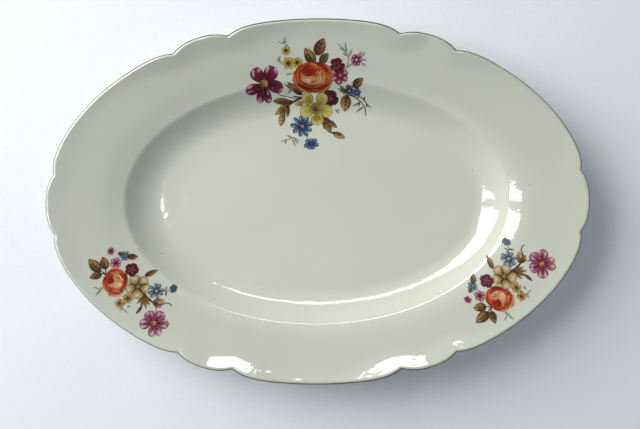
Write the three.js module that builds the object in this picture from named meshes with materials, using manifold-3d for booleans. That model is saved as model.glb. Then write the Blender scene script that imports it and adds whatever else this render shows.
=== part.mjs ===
// An oval serving platter in glazed porcelain, with a gilt edge and three sprays of flowers.
//
// The platter lies the right way up: +Z is up, +X runs along its long axis, and the origin is
// the middle of the flat underside of the foot ring. All sizes are in millimetres.
//
// The porcelain is one fired piece. The gilding on its lip and the enamel flowers on its glaze
// are thin layers of their own, and each flower, leaf and sprig is one island of enamel.

import * as THREE from 'three';
import { mergeVertices } from 'three/addons/utils/BufferGeometryUtils.js';
import Module from 'manifold-3d';

const wasm = await Module();
wasm.setup();

const degrees = THREE.MathUtils.degToRad;

// ---------------------------------------------------------------- driving dimensions

// The rim's outline: an ellipse that swells into twelve shallow lobes between sharp notches.
const RIM_HALF_LENGTH = 177;
const RIM_HALF_WIDTH = 116.5;
const NOTCHES = [10, 58.3, 71.4].map(degrees);
const NOTCH_SLOPE = 0.5;
const NOTCH_ROUNDING = 0.35;

// How far each lobe swells beyond the ellipse, and the steps that it is drawn with.
const END_LOBE = { swell: 3.1, steps: 6 };
const SIDE_LOBE = { swell: 3.1, steps: 10 };
const CORNER_LOBE = { swell: 4.0, steps: 6 };
const WIDE_LOBE = { swell: 4.5, steps: 8 };
const CROWDING = 0.8;

// The shoulder is the smooth oval crest where the rim turns down into the well.
const SHOULDER_HALF_LENGTH = 129.4;
const SHOULDER_HALF_WIDTH = 81.3;

// Heights of the glazed upper surface, and the bends that join its straight stretches.
const FLOOR_HEIGHT = 8.7;
const CAVETTO_WIDTH = 13;
const CAVETTO_SLOPE = 0.85;
const EDGE_HEIGHT = 30;
const FLOOR_BEND = 9.5;
const SHOULDER_BEND = 1.4;

// Outside its crest the shoulder still climbs, and eases into the rim's own slope further out.
const COLLAR_SLOPE = 0.33;
const COLLAR_WIDTH = 10;
const COLLAR_BEND = 7;
const COLLAR_HEIGHT = FLOOR_HEIGHT + CAVETTO_SLOPE * CAVETTO_WIDTH + COLLAR_SLOPE * COLLAR_WIDTH;

// The rim flares up at its edge: a little along the lobes, more and from further in at a notch.
// The flare is full on the long sides and fades to a share of that at the two ends. It starts
// inside the plain ellipse, so that the lobes are trimmed out of one smooth surface.
const LOBE_FLARE = { slope: 0.2, start: 4 };
const NOTCH_FLARE = { slope: 0.28, start: 11 };
const FLARE_BEND = 4;
const NOTCH_SPREAD = 26;
const END_FLARE_SHARE = 0.15;

// The wall, the lip's round edge, and the foot ring that the platter stands on.
const WALL = 5;
const LIP_RADIUS = 1.7;
const LIP_STEPS = 6;
const RECESS_HEIGHT = 4.5;
const FOOT_OUTSIDE = -11;
const FOOT_INSIDE = -17.2;
const FOOT_DRAFT = 0.6;
const FOOT_CHAMFER = 0.8;

// Fired layers on the glaze: the hair of space under them and their thickness.
const LAYER_GAP = 0.06;
const LAYER = 0.2;
const GILT_TOP = 30;
const GILT_BOTTOM = -30;
const GILT_STEPS = 2;
const ISLAND_GAP = 0.25;

const PORCELAIN = { color: 0xdadfd2, roughness: 0.12, metalness: 0 };
const GILT = { color: 0x8d7748, roughness: 0.35, metalness: 0.9 };
const ENAMEL = {
  coral: 0xc05a33,
  plum: 0x7d2550,
  rose: 0xa24b6c,
  wine: 0x571025,
  lime: 0xb0a94e,
  straw: 0xa89a62,
  yellow: 0xb5942f,
  blue: 0x35436f,
  slate: 0x5d7080,
  brown: 0x6e4a26,
  tan: 0x9a7440,
  olive: 0x5d4f27,
  grey: 0x8d9384,
};

// ---------------------------------------------------------------- the platter's surface

// A bend is flat before -half, climbs at slope 1 after +half, and is a parabola in between.
function bend(x, half) {
  const inside = THREE.MathUtils.clamp(x, -half, half);
  return (inside + half) ** 2 / (4 * half) + Math.max(x - half, 0);
}

// The twelve lobes in order round the rim, as spans of the ellipse's parameter.
function lobesRoundRim() {
  const [first, second, third] = NOTCHES;
  const half = [
    [first, second, SIDE_LOBE],
    [second, third, CORNER_LOBE],
    [third, Math.PI - third, WIDE_LOBE],
    [Math.PI - third, Math.PI - second, CORNER_LOBE],
    [Math.PI - second, Math.PI - first, SIDE_LOBE],
    [Math.PI - first, Math.PI + first, END_LOBE],
  ];
  const otherHalf = half.map(([from, to, lobe]) => [from + Math.PI, to + Math.PI, lobe]);
  return [...half, ...otherHalf];
}

// A lobe's swell, across = 0 to 1 from notch to notch: steep at the notches, flat between.
function swellAt(across, arc, lobe) {
  const power = (NOTCH_SLOPE * arc) / (2 * lobe.swell);
  const sharp = lobe.swell * (1 - Math.abs(2 * across - 1) ** power);
  return Math.hypot(sharp, NOTCH_ROUNDING) - NOTCH_ROUNDING;
}

// The flare of one spoke, from its angle and how far along the edge the nearest notch is.
function flareAt(angle, distance) {
  const closeness = Math.exp(-((distance / NOTCH_SPREAD) ** 2));
  const share = THREE.MathUtils.lerp(END_FLARE_SHARE, 1, Math.sin(angle) ** 2);
  return {
    slope: share * THREE.MathUtils.lerp(LOBE_FLARE.slope, NOTCH_FLARE.slope, closeness),
    start: THREE.MathUtils.lerp(LOBE_FLARE.start, NOTCH_FLARE.start, closeness),
  };
}

// One spoke runs from the shoulder to the rim's edge at the same parameter of both ovals.
function spokeAt(angle, swell, flare) {
  const x = RIM_HALF_LENGTH * Math.cos(angle);
  const y = RIM_HALF_WIDTH * Math.sin(angle);
  const normal = new THREE.Vector2(x / RIM_HALF_LENGTH ** 2, y / RIM_HALF_WIDTH ** 2).normalize();
  const plainEdge = new THREE.Vector2(x, y);
  const edge = plainEdge.clone().addScaledVector(normal, swell);
  const shoulder = new THREE.Vector2(
    SHOULDER_HALF_LENGTH * Math.cos(angle),
    SHOULDER_HALF_WIDTH * Math.sin(angle),
  );
  const plain = plainEdge.distanceTo(shoulder);
  const outward = edge.clone().sub(shoulder);
  return { shoulder, flare, plain, reach: outward.length(), outward: outward.normalize() };
}

function spokesRoundRim() {
  const spokes = [];
  for (const [from, to, lobe] of lobesRoundRim()) {
    const middle = (from + to) / 2;
    const speed = Math.hypot(RIM_HALF_LENGTH * Math.sin(middle), RIM_HALF_WIDTH * Math.cos(middle));
    const arc = speed * (to - from);
    for (let step = 0; step < lobe.steps; step += 1) {
      const even = step / lobe.steps;
      const across = even - (CROWDING * Math.sin(2 * Math.PI * even)) / (2 * Math.PI);
      const angle = from + (to - from) * across;
      const flare = flareAt(angle, arc * Math.min(across, 1 - across));
      spokes.push(spokeAt(angle, swellAt(across, arc, lobe), flare));
    }
  }
  return spokes;
}

// Height of the upper surface of a spoke, `out` beyond the shoulder's crest. The rim reaches its
// nominal height at the plain ellipse, and its lobes carry on beyond that.
function upperHeight(out, { plain, flare }) {
  const rimSlope = (EDGE_HEIGHT - COLLAR_HEIGHT) / (plain - COLLAR_WIDTH);
  const cavetto = CAVETTO_SLOPE * bend(out + CAVETTO_WIDTH, FLOOR_BEND);
  const crest = (CAVETTO_SLOPE - COLLAR_SLOPE) * bend(out, SHOULDER_BEND);
  const collar = (COLLAR_SLOPE - rimSlope) * bend(out - COLLAR_WIDTH, COLLAR_BEND);
  const flaring = flare.slope * bend(out - (plain - flare.start), FLARE_BEND);
  return FLOOR_HEIGHT + cavetto - crest - collar + flaring;
}

// The lip's half circle leaves the upper surface at a tangent and touches the outline.
function lipCircle(spoke) {
  const near = spoke.reach - 2 * LIP_RADIUS;
  const tilt = Math.atan(upperHeight(near + 0.5, spoke) - upperHeight(near - 0.5, spoke));
  const start = spoke.reach - LIP_RADIUS * (1 + Math.sin(tilt));
  const height = upperHeight(start, spoke) - LIP_RADIUS * Math.cos(tilt);
  return { out: spoke.reach - LIP_RADIUS, height, tilt };
}

// Points round the lip's circle at some radius, between two angles from its own tilt.
function lipPoints(spoke, radius, fromAngle, toAngle, steps) {
  const { out, height, tilt } = lipCircle(spoke);
  return Array.from({ length: steps + 1 }, (_, step) => {
    const angle = tilt + degrees(THREE.MathUtils.lerp(fromAngle, toAngle, step / steps));
    return [out + radius * Math.cos(angle), height + radius * Math.sin(angle)];
  });
}

// Height of the underside: a full wall below the well, thinning to the lip's own thickness.
function lowerHeight(out, spoke) {
  const thinning = THREE.MathUtils.clamp(out / spoke.reach, 0, 1);
  return upperHeight(out, spoke) - THREE.MathUtils.lerp(WALL, 2 * LIP_RADIUS, thinning);
}

// The whole section as [out, height] pairs, from the underside's recess round to the well.
function sectionPoints(spoke) {
  const { plain, flare } = spoke;
  const foot = [
    [FOOT_INSIDE, RECESS_HEIGHT],
    [FOOT_INSIDE + FOOT_DRAFT, FOOT_CHAMFER],
    [FOOT_INSIDE + FOOT_DRAFT + FOOT_CHAMFER, 0],
    [FOOT_OUTSIDE - FOOT_DRAFT - FOOT_CHAMFER, 0],
    [FOOT_OUTSIDE - FOOT_DRAFT, FOOT_CHAMFER],
  ];
  const below = [
    FOOT_OUTSIDE,
    -SHOULDER_BEND,
    SHOULDER_BEND,
    COLLAR_WIDTH + COLLAR_BEND,
    plain - flare.start - FLARE_BEND,
  ];
  const above = [
    plain - flare.start + 0.6 * FLARE_BEND,
    plain - flare.start,
    plain - flare.start - FLARE_BEND,
    COLLAR_WIDTH + COLLAR_BEND,
    COLLAR_WIDTH,
    SHOULDER_BEND,
    SHOULDER_BEND / 3,
    -SHOULDER_BEND / 3,
    -SHOULDER_BEND,
    FLOOR_BEND - CAVETTO_WIDTH,
    FLOOR_BEND / 2 - CAVETTO_WIDTH,
    -CAVETTO_WIDTH,
    -FLOOR_BEND / 2 - CAVETTO_WIDTH,
    -FLOOR_BEND - CAVETTO_WIDTH,
  ];
  return [
    ...foot,
    ...below.map((out) => [out, lowerHeight(out, spoke)]),
    ...lipPoints(spoke, LIP_RADIUS, -90, 90, LIP_STEPS),
    ...above.map((out) => [out, upperHeight(out, spoke)]),
  ];
}

// ---------------------------------------------------------------- meshes and solids

// A ring of points round the platter, one on each spoke, from [out, height] pairs.
function ringOnSpokes(spokes, pairs) {
  return spokes.map(({ shoulder, outward }, index) => {
    const [out, height] = pairs[index];
    const place = shoulder.clone().addScaledVector(outward, out);
    return new THREE.Vector3(place.x, place.y, height);
  });
}

// Rings are joined in order. Capped rings close on two poles, others close on each other.
function geometryOfRings(rings, capped) {
  const around = rings[0].length;
  const points = rings.flat();
  const index = [];
  const last = capped ? rings.length - 1 : rings.length;
  for (let ring = 0; ring < last; ring += 1) {
    for (let spoke = 0; spoke < around; spoke += 1) {
      const here = ring * around;
      const there = ((ring + 1) % rings.length) * around;
      const next = (spoke + 1) % around;
      index.push(here + spoke, there + next, there + spoke);
      index.push(here + spoke, here + next, there + next);
    }
  }
  if (capped) {
    const below = points.length;
    const above = below + 1;
    points.push(new THREE.Vector3(0, 0, rings[0][0].z));
    points.push(new THREE.Vector3(0, 0, rings[last][0].z));
    for (let spoke = 0; spoke < around; spoke += 1) {
      const next = (spoke + 1) % around;
      index.push(below, next, spoke);
      index.push(above, last * around + spoke, last * around + next);
    }
  }
  const geometry = new THREE.BufferGeometry().setFromPoints(points);
  geometry.setIndex(index);
  return geometry;
}

function solidOf(geometry) {
  geometry.deleteAttribute('normal');
  geometry.deleteAttribute('uv');
  const merged = mergeVertices(geometry, 1e-5);
  return new wasm.Manifold(
    new wasm.Mesh({
      numProp: 3,
      vertProperties: new Float32Array(merged.attributes.position.array),
      triVerts: new Uint32Array(merged.index.array),
    }),
  );
}

function geometryOf(solid) {
  const { vertProperties, triVerts } = solid.getMesh();
  const geometry = new THREE.BufferGeometry();
  geometry.setAttribute('position', new THREE.BufferAttribute(vertProperties, 3));
  geometry.setIndex(new THREE.BufferAttribute(triVerts, 1));
  geometry.computeVertexNormals();
  return geometry;
}

function meshOf(name, geometry, finish) {
  const mesh = new THREE.Mesh(geometry, new THREE.MeshStandardMaterial(finish));
  mesh.name = name;
  return mesh;
}

// ---------------------------------------------------------------- porcelain and gilding

function porcelainBody(spokes) {
  const sections = spokes.map(sectionPoints);
  const rings = sections[0].map((_, station) =>
    ringOnSpokes(spokes, sections.map((points) => points[station])),
  );
  const shrunk = (ring, share) => ring.map(({ x, y, z }) => new THREE.Vector3(x * share, y * share, z));
  const recess = shrunk(rings[0], 0.5);
  const floor = [shrunk(rings.at(-1), 0.7), shrunk(rings.at(-1), 0.35)];
  return geometryOfRings([recess, ...rings, ...floor], true);
}

// The gilding wraps the outer half of the lip, on the same spokes and steps as the porcelain.
function giltLine(spokes) {
  const loops = spokes.map((spoke) => {
    const inside = LIP_RADIUS + LAYER_GAP;
    const outside = inside + LAYER;
    return [
      ...lipPoints(spoke, inside, GILT_TOP, GILT_BOTTOM, GILT_STEPS),
      ...lipPoints(spoke, outside, GILT_BOTTOM, GILT_TOP, GILT_STEPS),
    ];
  });
  const rings = loops[0].map((_, station) =>
    ringOnSpokes(spokes, loops.map((points) => points[station])),
  );
  return geometryOfRings(rings, false);
}

// ---------------------------------------------------------------- outlines of the flowers

const point = (x, y) => new THREE.Vector2(x, y);

// A round flower seen face on: `petals` scallops on an oval, cut in by a share of its radius.
function rosette(x, y, halfWidth, halfHeight, petals, cut, turn = 0) {
  const samples = petals * 4;
  return Array.from({ length: samples }, (_, sample) => {
    const angle = (2 * Math.PI * sample) / samples;
    const valley = 1 - Math.abs(Math.cos((petals * angle) / 2));
    const share = 1 - cut * valley;
    const turned = angle + degrees(turn);
    return point(x + halfWidth * share * Math.cos(turned), y + halfHeight * share * Math.sin(turned));
  });
}

// A leaf or petal from its base to its tip, widest at `belly` of its length.
function blade(x0, y0, x1, y1, width, belly = 0.45) {
  const along = point(x1 - x0, y1 - y0);
  const side = point(-along.y, along.x).normalize();
  const half = (share) => (width / 2) * Math.sin(Math.PI * share ** (Math.log(0.5) / Math.log(belly)));
  const shares = [0.12, 0.3, 0.5, 0.7, 0.88];
  const right = shares.map((share) =>
    point(x0, y0).addScaledVector(along, share).addScaledVector(side, -half(share)),
  );
  const left = shares.map((share) =>
    point(x0, y0).addScaledVector(along, share).addScaledVector(side, half(share)),
  );
  return [point(x0, y0), ...right, point(x1, y1), ...left.reverse()];
}

// Petals round a flower's heart: each is its direction, its length and its width.
function petals(x, y, blades) {
  return blades.map(([direction, length, width]) => {
    const angle = degrees(direction);
    return blade(x, y, x + length * Math.cos(angle), y + length * Math.sin(angle), width, 0.62);
  });
}

// A stem along a smooth line through a few places, thinning to its end.
function stem(places, width) {
  const curve = new THREE.SplineCurve(places.map(([x, y]) => point(x, y)));
  const steps = 2 * places.length;
  const right = [];
  const left = [];
  for (let step = 0; step <= steps; step += 1) {
    const share = step / steps;
    const middle = curve.getPoint(share);
    const tangent = curve.getTangent(share);
    const side = point(-tangent.y, tangent.x);
    const half = (width / 2) * (1 - 0.5 * share);
    right.push(middle.clone().addScaledVector(side, -half));
    left.push(middle.clone().addScaledVector(side, half));
  }
  return [...right, ...left.reverse()];
}

// ---------------------------------------------------------------- the three sprays

// The long spray at the head of the platter, from its own middle.
const HEAD_SPRAY = [
  ['rose', 'coral', [rosette(5, 12, 13.2, 9.6, 9, 0.07)]],
  ['cosmos', 'plum', [
    rosette(-28, 8, 4, 4, 6, 0.1),
    ...petals(-28, 8, [[117, 12, 9.5], [58, 12.6, 10], [-9, 12.6, 8.6], [-74, 12.2, 6.6], [-108, 12, 6.6]]),
    ...petals(-28, 8, [[202, 13.4, 7.4]]),
  ]],
  ['lime_bloom', 'lime', [
    rosette(0.8, -1.6, 4.1, 4, 5, 0.04),
    rosette(10.4, -2.2, 4.3, 4.2, 5, 0.04),
    rosette(0.6, -9.6, 5, 4.9, 5, 0.04),
    rosette(13.6, -9.8, 4.3, 4.6, 5, 0.04),
    rosette(7.2, -15, 4.7, 4.5, 5, 0.04),
    rosette(6.2, -7.6, 4.6, 4.6, 5, 0.04),
  ]],
  ['blue_daisy', 'blue', [rosette(-3.2, -20, 8, 7.4, 9, 0.4, 12)]],
  ['wine_flower_upper', 'wine', [rosette(20.6, 20, 5.4, 4.6, 5, 0.3, 20)]],
  ['pink_flower', 'rose', [rosette(22.8, 12.6, 6, 5.6, 6, 0.2)]],
  ['wine_flower_lower', 'wine', [rosette(17.4, -1.8, 4.8, 5.4, 5, 0.3, 60)]],
  ['magenta_flower', 'rose', [rosette(33.8, 22.4, 3.8, 3.8, 6, 0.2)]],
  ['blue_floret', 'blue', [rosette(2.8, -32, 5.4, 3.8, 7, 0.35, 40)]],
  ['blue_buds', 'blue', [rosette(29.4, 3, 3.4, 3.4, 6, 0.3), rosette(34, 1.8, 2.6, 2.6, 5, 0.3)]],
  ['yellow_floret', 'yellow', [rosette(-12.6, 28.8, 3.2, 3.2, 6, 0.3)]],
  ['yellow_pair', 'yellow', [rosette(-11.2, 20.8, 4.2, 4.1, 6, 0.3), rosette(-5.6, 21.4, 3.6, 3.6, 6, 0.3)]],
  ['leaf_left_of_crown', 'brown', [blade(6.2, 20.4, 0.4, 31, 7.2)]],
  ['leaf_crown', 'brown', [blade(8.2, 25.8, 13.6, 37, 7.6)]],
  ['leaf_right_of_crown', 'olive', [blade(9.6, 20.6, 15.2, 27, 5.4)]],
  ['leaf_far_right', 'olive', [blade(31.4, 6.6, 38.2, 11.8, 5.4)]],
  ['leaf_ochre', 'tan', [blade(27.2, 0.6, 26, -10.4, 7.4)]],
  ['leaf_west', 'olive', [blade(-3, 0.6, -12, 8.8, 4.2)]],
  ['leaf_spray_west', 'tan', [
    stem([[-2.6, -0.6], [-9, -3.4], [-15, -6.8]], 1.8),
    blade(-8, -3.6, -22.8, -3.2, 4.6),
    blade(-12, -5.4, -21.6, -12, 5),
    blade(-15.4, -8, -18, -20, 4.4),
    blade(-12.6, -5.6, -13.4, -13.8, 3.2),
  ]],
  ['leaf_spray_east', 'brown', [
    blade(11, -13, 16.8, -25, 6.6),
    blade(13.6, -16.4, 20.6, -21.4, 3.2),
    blade(15.6, -23, 26, -28.4, 4.2),
  ]],
  ['twig', 'olive', [
    stem([[31.6, -0.4], [37, -4.6], [43.6, -8.4]], 0.9),
    stem([[37, -4.2], [39.6, -7.6], [40.2, -13.6]], 0.9),
    blade(36.6, -4.4, 31, -7, 1.8),
    blade(39.2, -6.4, 33.2, -11, 1.8),
  ]],
  ['sprig_northwest', 'grey', [
    stem([[-12, 34.6], [-14.2, 33.2], [-17.4, 34.6]], 1),
    blade(-14.4, 32.8, -12.8, 37.6, 1.3),
  ]],
  ['sprig_northeast', 'grey', [
    stem([[26.6, 16], [28.8, 22], [27.6, 26], [20.8, 33.2]], 1),
    blade(28.4, 24.2, 31.2, 29.4, 1.4),
    blade(27.4, 27, 26.6, 33.6, 1.4),
    stem([[27.2, 17.4], [29.6, 19.2], [32, 20.6]], 0.9),
  ]],
  ['sprig_south', 'grey', [
    stem([[-17.6, -30.2], [-13, -28.8], [-9, -27.4], [-5, -30]], 1),
    blade(-10, -27.6, -8, -34, 1.5),
    blade(-10, -27.8, -13.8, -26, 1.4),
  ]],
];

// The short spray, from the heart of its rose. It is used twice.
const SIDE_SPRAY = [
  ['rose', 'coral', [rosette(0.2, 0, 8.4, 10.2, 9, 0.06)]],
  ['cosmos', 'rose', [
    rosette(25.5, -27.5, 3.4, 3.4, 6, 0.1),
    ...petals(25.5, -27.5, [[126, 8.8, 7], [49, 9.2, 7.4], [-9, 9.8, 7.2], [-68, 9.2, 5.4], [-102, 8.8, 5.4]]),
    ...petals(25.5, -27.5, [[185, 9.9, 7]]),
  ]],
  ['straw_bloom', 'straw', [
    rosette(13, 2.2, 3.8, 3.4, 5, 0.04),
    rosette(19.2, 1, 3.6, 3.6, 5, 0.04),
    rosette(20.4, -5, 3.8, 3.6, 5, 0.04),
    rosette(14.6, -8.2, 4.2, 3.6, 5, 0.04),
    rosette(9.4, -3.6, 3.6, 3.8, 5, 0.04),
    rosette(15, -3, 3.6, 3.6, 5, 0.04),
  ]],
  ['blue_flower', 'slate', [rosette(27, -6.4, 5.4, 5.4, 8, 0.35)]],
  ['wine_flower', 'wine', [rosette(10.6, 8, 4.6, 4.2, 5, 0.3, 40)]],
  ['pink_flower', 'rose', [rosette(0.6, 12.6, 3.8, 3.6, 6, 0.2)]],
  ['slate_floret', 'slate', [rosette(6, 17.6, 3.2, 3.2, 6, 0.25), blade(7.6, 16.8, 15, 16.6, 4)]],
  ['leaves', 'brown', [
    blade(-6.2, 5.6, -17.2, 15.6, 8),
    blade(-5.2, 7.4, -8, 16.8, 6.6),
    blade(-6.6, 4.8, -16.6, 2.6, 5.2),
  ]],
  ['leaf_outer', 'brown', [blade(19, 3.4, 27.6, 7.2, 3.8)]],
  ['ochre_florets', 'tan', [rosette(8.4, -11, 3.4, 3.2, 5, 0.25), rosette(3, -14, 3.2, 3, 5, 0.25)]],
  ['leaf_fan', 'brown', [
    stem([[19.2, -9], [24, -13.6], [29, -16], [33.4, -14.6], [37, -16.8]], 1.3),
    blade(19.4, -9, 15, -14.6, 2.4),
    blade(19.6, -9, 17, -19, 2.6),
    blade(19.8, -9.4, 20.4, -17.6, 2.2),
    blade(24.6, -14.2, 32.4, -13.2, 4.4),
    stem([[26.6, -15], [27.2, -17.4], [26.6, -19]], 0.8),
  ]],
  ['blue_bud', 'slate', [rosette(38, -5, 2.8, 2.8, 5, 0.3), stem([[32.2, -5.4], [34, -6.4], [37, -5.6]], 0.9)]],
];

// A wet transfer stretches a little as it is slid on: `skew` leans a spray after it is turned.
const SPRAYS = [
  { name: 'head', motifs: HEAD_SPRAY, x: -6.3, y: 71.8, turn: 0, skew: 0 },
  { name: 'left', motifs: SIDE_SPRAY, x: -135, y: -52, turn: 0, skew: 0 },
  { name: 'right', motifs: SIDE_SPRAY, x: 121.4, y: -64.5, turn: 87, skew: -0.049 },
];

// An upright block on a flat outline, tall enough to pass through the whole platter.
function blockOn(outline, spray, margin) {
  const centre = outline.reduce((sum, place) => sum.add(place), point(0, 0)).divideScalar(outline.length);
  const placed = outline.map((place) => {
    const away = place.clone().sub(centre);
    const grown = centre.clone().addScaledVector(away, 1 + margin / away.length());
    const turned = grown.rotateAround(point(0, 0), degrees(spray.turn));
    const leaned = point(turned.x + spray.skew * turned.y, turned.y + spray.skew * turned.x);
    return leaned.add(point(spray.x, spray.y));
  });
  const geometry = new THREE.ExtrudeGeometry(new THREE.Shape(placed), {
    depth: 2 * EDGE_HEIGHT,
    bevelEnabled: false,
  });
  return solidOf(geometry);
}

const joined = (solids) => solids.reduce((whole, solid) => whole.add(solid));

const largest = (solid) =>
  solid.decompose().reduce((best, part) => (part.volume() > best.volume() ? part : best));

// Each motif is cut from the thin layer over the glaze, clear of the motifs laid before it.
function enamelMeshes(spray, layer) {
  const meshes = [];
  let taken = null;
  for (const [motif, paint, outlines] of spray.motifs) {
    const block = joined(outlines.map((outline) => blockOn(outline, spray, 0)));
    const free = taken ? block.subtract(taken) : block;
    const island = largest(free.intersect(layer));
    const finish = { color: ENAMEL[paint], roughness: 0.25, metalness: 0 };
    meshes.push(meshOf(`${spray.name}_${motif}`, geometryOf(island), finish));
    const margin = joined(outlines.map((outline) => blockOn(outline, spray, ISLAND_GAP)));
    taken = taken ? taken.add(margin) : margin;
  }
  return meshes;
}

// ---------------------------------------------------------------- the platter

const spokes = spokesRoundRim();
const body = solidOf(porcelainBody(spokes));
const layer = body.translate([0, 0, LAYER_GAP + LAYER]).subtract(body.translate([0, 0, LAYER_GAP]));

const group = new THREE.Group();
group.add(meshOf('platter_body', geometryOf(body), PORCELAIN));
group.add(meshOf('gilt_edge_line', giltLine(spokes), GILT));
for (const spray of SPRAYS) {
  group.add(...enamelMeshes(spray, layer));
}

export default group;
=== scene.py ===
# %% [markdown]
# # An oval porcelain platter with a gilt edge and three sprays of flowers
#
# The platter is one fired piece of porcelain: a flat well, a steep wall that potters call the
# cavetto, a wide rim with twelve lobes, and a foot ring underneath. A gold line is banded on its
# lip, and three colour transfers are fired on its glaze. This notebook builds all of it from
# rules and brush strokes. It starts from a plain model of the platter that is already in the
# right place and size, and keeps every piece inside that model's box.

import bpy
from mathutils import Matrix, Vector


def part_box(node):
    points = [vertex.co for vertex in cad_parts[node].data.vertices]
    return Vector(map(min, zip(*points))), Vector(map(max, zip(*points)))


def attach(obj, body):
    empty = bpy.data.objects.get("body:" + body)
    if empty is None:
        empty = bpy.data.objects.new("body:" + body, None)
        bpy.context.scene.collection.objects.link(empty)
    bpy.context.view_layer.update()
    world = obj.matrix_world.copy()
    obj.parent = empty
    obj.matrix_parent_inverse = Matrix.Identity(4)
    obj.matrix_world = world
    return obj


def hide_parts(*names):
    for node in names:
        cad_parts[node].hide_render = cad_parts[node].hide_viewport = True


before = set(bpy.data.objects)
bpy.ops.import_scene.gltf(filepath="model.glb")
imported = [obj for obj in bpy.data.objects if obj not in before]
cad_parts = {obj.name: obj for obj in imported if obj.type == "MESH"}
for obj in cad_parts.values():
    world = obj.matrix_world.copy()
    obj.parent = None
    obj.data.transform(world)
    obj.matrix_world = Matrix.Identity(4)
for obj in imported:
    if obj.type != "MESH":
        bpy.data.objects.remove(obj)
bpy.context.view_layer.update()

# %% The tools of the workshop
import math

import bmesh
import bpy
import numpy as np
from mathutils import Matrix, Vector

MM = 0.001
scene = bpy.context.scene
scene.view_settings.view_transform = "Standard"

# %% [markdown]
# ## Writing node trees as formulas
#
# Both geometry and materials are made of nodes here. A long formula takes dozens of Math nodes,
# and wiring them one by one hides what they say. A small class that turns +, -, * and / into Math
# nodes keeps the formula readable, so the same line could be read out loud by a potter.


# %% A field that grows Math nodes
class Field:
    """A socket of a node tree that can be added, multiplied and compared like a number."""

    def __init__(self, tree, socket):
        self.tree = tree
        self.socket = socket

    def math(self, operation, *others):
        node = self.tree.nodes.new("ShaderNodeMath")
        node.operation = operation
        for place, value in enumerate((self, *others)):
            if isinstance(value, Field):
                self.tree.links.new(value.socket, node.inputs[place])
            else:
                node.inputs[place].default_value = value
        return Field(self.tree, node.outputs[0])

    def __add__(self, other):
        return self.math("ADD", other)

    def __sub__(self, other):
        return self.math("SUBTRACT", other)

    def __mul__(self, other):
        return self.math("MULTIPLY", other)

    def __truediv__(self, other):
        return self.math("DIVIDE", other)

    __radd__ = __add__
    __rmul__ = __mul__

    def __rsub__(self, other):
        return (self * -1.0) + other


def between(field, low, high):
    """The field held between two numbers or fields."""
    return field.math("MAXIMUM", low).math("MINIMUM", high)


def add_node(tree, kind, links=(), **settings):
    """A new node, its settings, and what its sockets are linked or set to."""
    node = tree.nodes.new(kind)
    for name, value in settings.items():
        setattr(node, name, value)
    for name, value in dict(links).items():
        if isinstance(value, Field):
            tree.links.new(value.socket, node.inputs[name])
        elif isinstance(value, bpy.types.NodeSocket):
            tree.links.new(value, node.inputs[name])
        else:
            node.inputs[name].default_value = value
    return node


# %% [markdown]
# ## The oval rim and its twelve lobes
#
# Seen from above, the rim is an ellipse that swells into twelve shallow lobes, with a sharp
# little notch between each pair: a wide lobe at head and foot, small ones on the corners, long
# ones down the sides and one at each end. A spoke runs from the shoulder of the well out to the
# rim at the same parameter of both ovals. The edge could be drawn by hand as a curve, but a rule
# keeps every lobe fair and lets the spokes crowd together at the notches, where detail is needed.

# %% Driving sizes of the outline
END_LOBE = {"swell": 3.1, "steps": 30}
SIDE_LOBE = {"swell": 3.1, "steps": 64}
CORNER_LOBE = {"swell": 4.0, "steps": 32}
WIDE_LOBE = {"swell": 4.5, "steps": 54}
NOTCHES = [math.radians(angle) for angle in (10, 58.3, 71.4)]
NOTCH_SLOPE = 0.5
NOTCH_ROUNDING = 0.35
NOTCH_SPREAD = 26
CROWDING = 0.8
LOBE_FLARE = {"slope": 0.2, "start": 4.0}
NOTCH_FLARE = {"slope": 0.28, "start": 11.0}
END_FLARE_SHARE = 0.15


def crown(lobe):
    """How far the middle of a lobe stands out of the ellipse."""
    return math.hypot(lobe["swell"], NOTCH_ROUNDING) - NOTCH_ROUNDING


body_low, body_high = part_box("platter_body")
RIM_HALF_LENGTH = (body_high[0] - body_low[0]) / 2 / MM - crown(END_LOBE)
RIM_HALF_WIDTH = (body_high[1] - body_low[1]) / 2 / MM - crown(WIDE_LOBE)
SHOULDER_HALF_LENGTH = 129.4
SHOULDER_HALF_WIDTH = 81.3
print(f"rim ellipse {RIM_HALF_LENGTH:.1f} by {RIM_HALF_WIDTH:.1f} mm, half sizes")


# %% Spokes from the shoulder to the rim
def lobes_round_rim():
    """The lobes in order, as (from, to, lobe) in the ellipse's parameter."""
    first, second, third = NOTCHES
    turn = math.pi
    half = [
        (first, second, SIDE_LOBE),
        (second, third, CORNER_LOBE),
        (third, turn - third, WIDE_LOBE),
        (turn - third, turn - second, CORNER_LOBE),
        (turn - second, turn - first, SIDE_LOBE),
        (turn - first, turn + first, END_LOBE),
    ]
    return half + [(start + turn, end + turn, lobe) for start, end, lobe in half]


def swell_at(across, arc, lobe):
    """How far a lobe stands out of the ellipse, across = 0 to 1 from notch to notch."""
    power = NOTCH_SLOPE * arc / (2 * lobe["swell"])
    sharp = lobe["swell"] * (1 - abs(2 * across - 1) ** power)
    return math.hypot(sharp, NOTCH_ROUNDING) - NOTCH_ROUNDING


def flare_at(angle, distance):
    """Slope and start of the rim's flare: more near a notch, and fading towards the two ends."""
    notch = math.exp(-((distance / NOTCH_SPREAD) ** 2))
    share = END_FLARE_SHARE + (1 - END_FLARE_SHARE) * math.sin(angle) ** 2
    slope = LOBE_FLARE["slope"] + notch * (NOTCH_FLARE["slope"] - LOBE_FLARE["slope"])
    start = LOBE_FLARE["start"] + notch * (NOTCH_FLARE["start"] - LOBE_FLARE["start"])
    return share * slope, start


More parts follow.
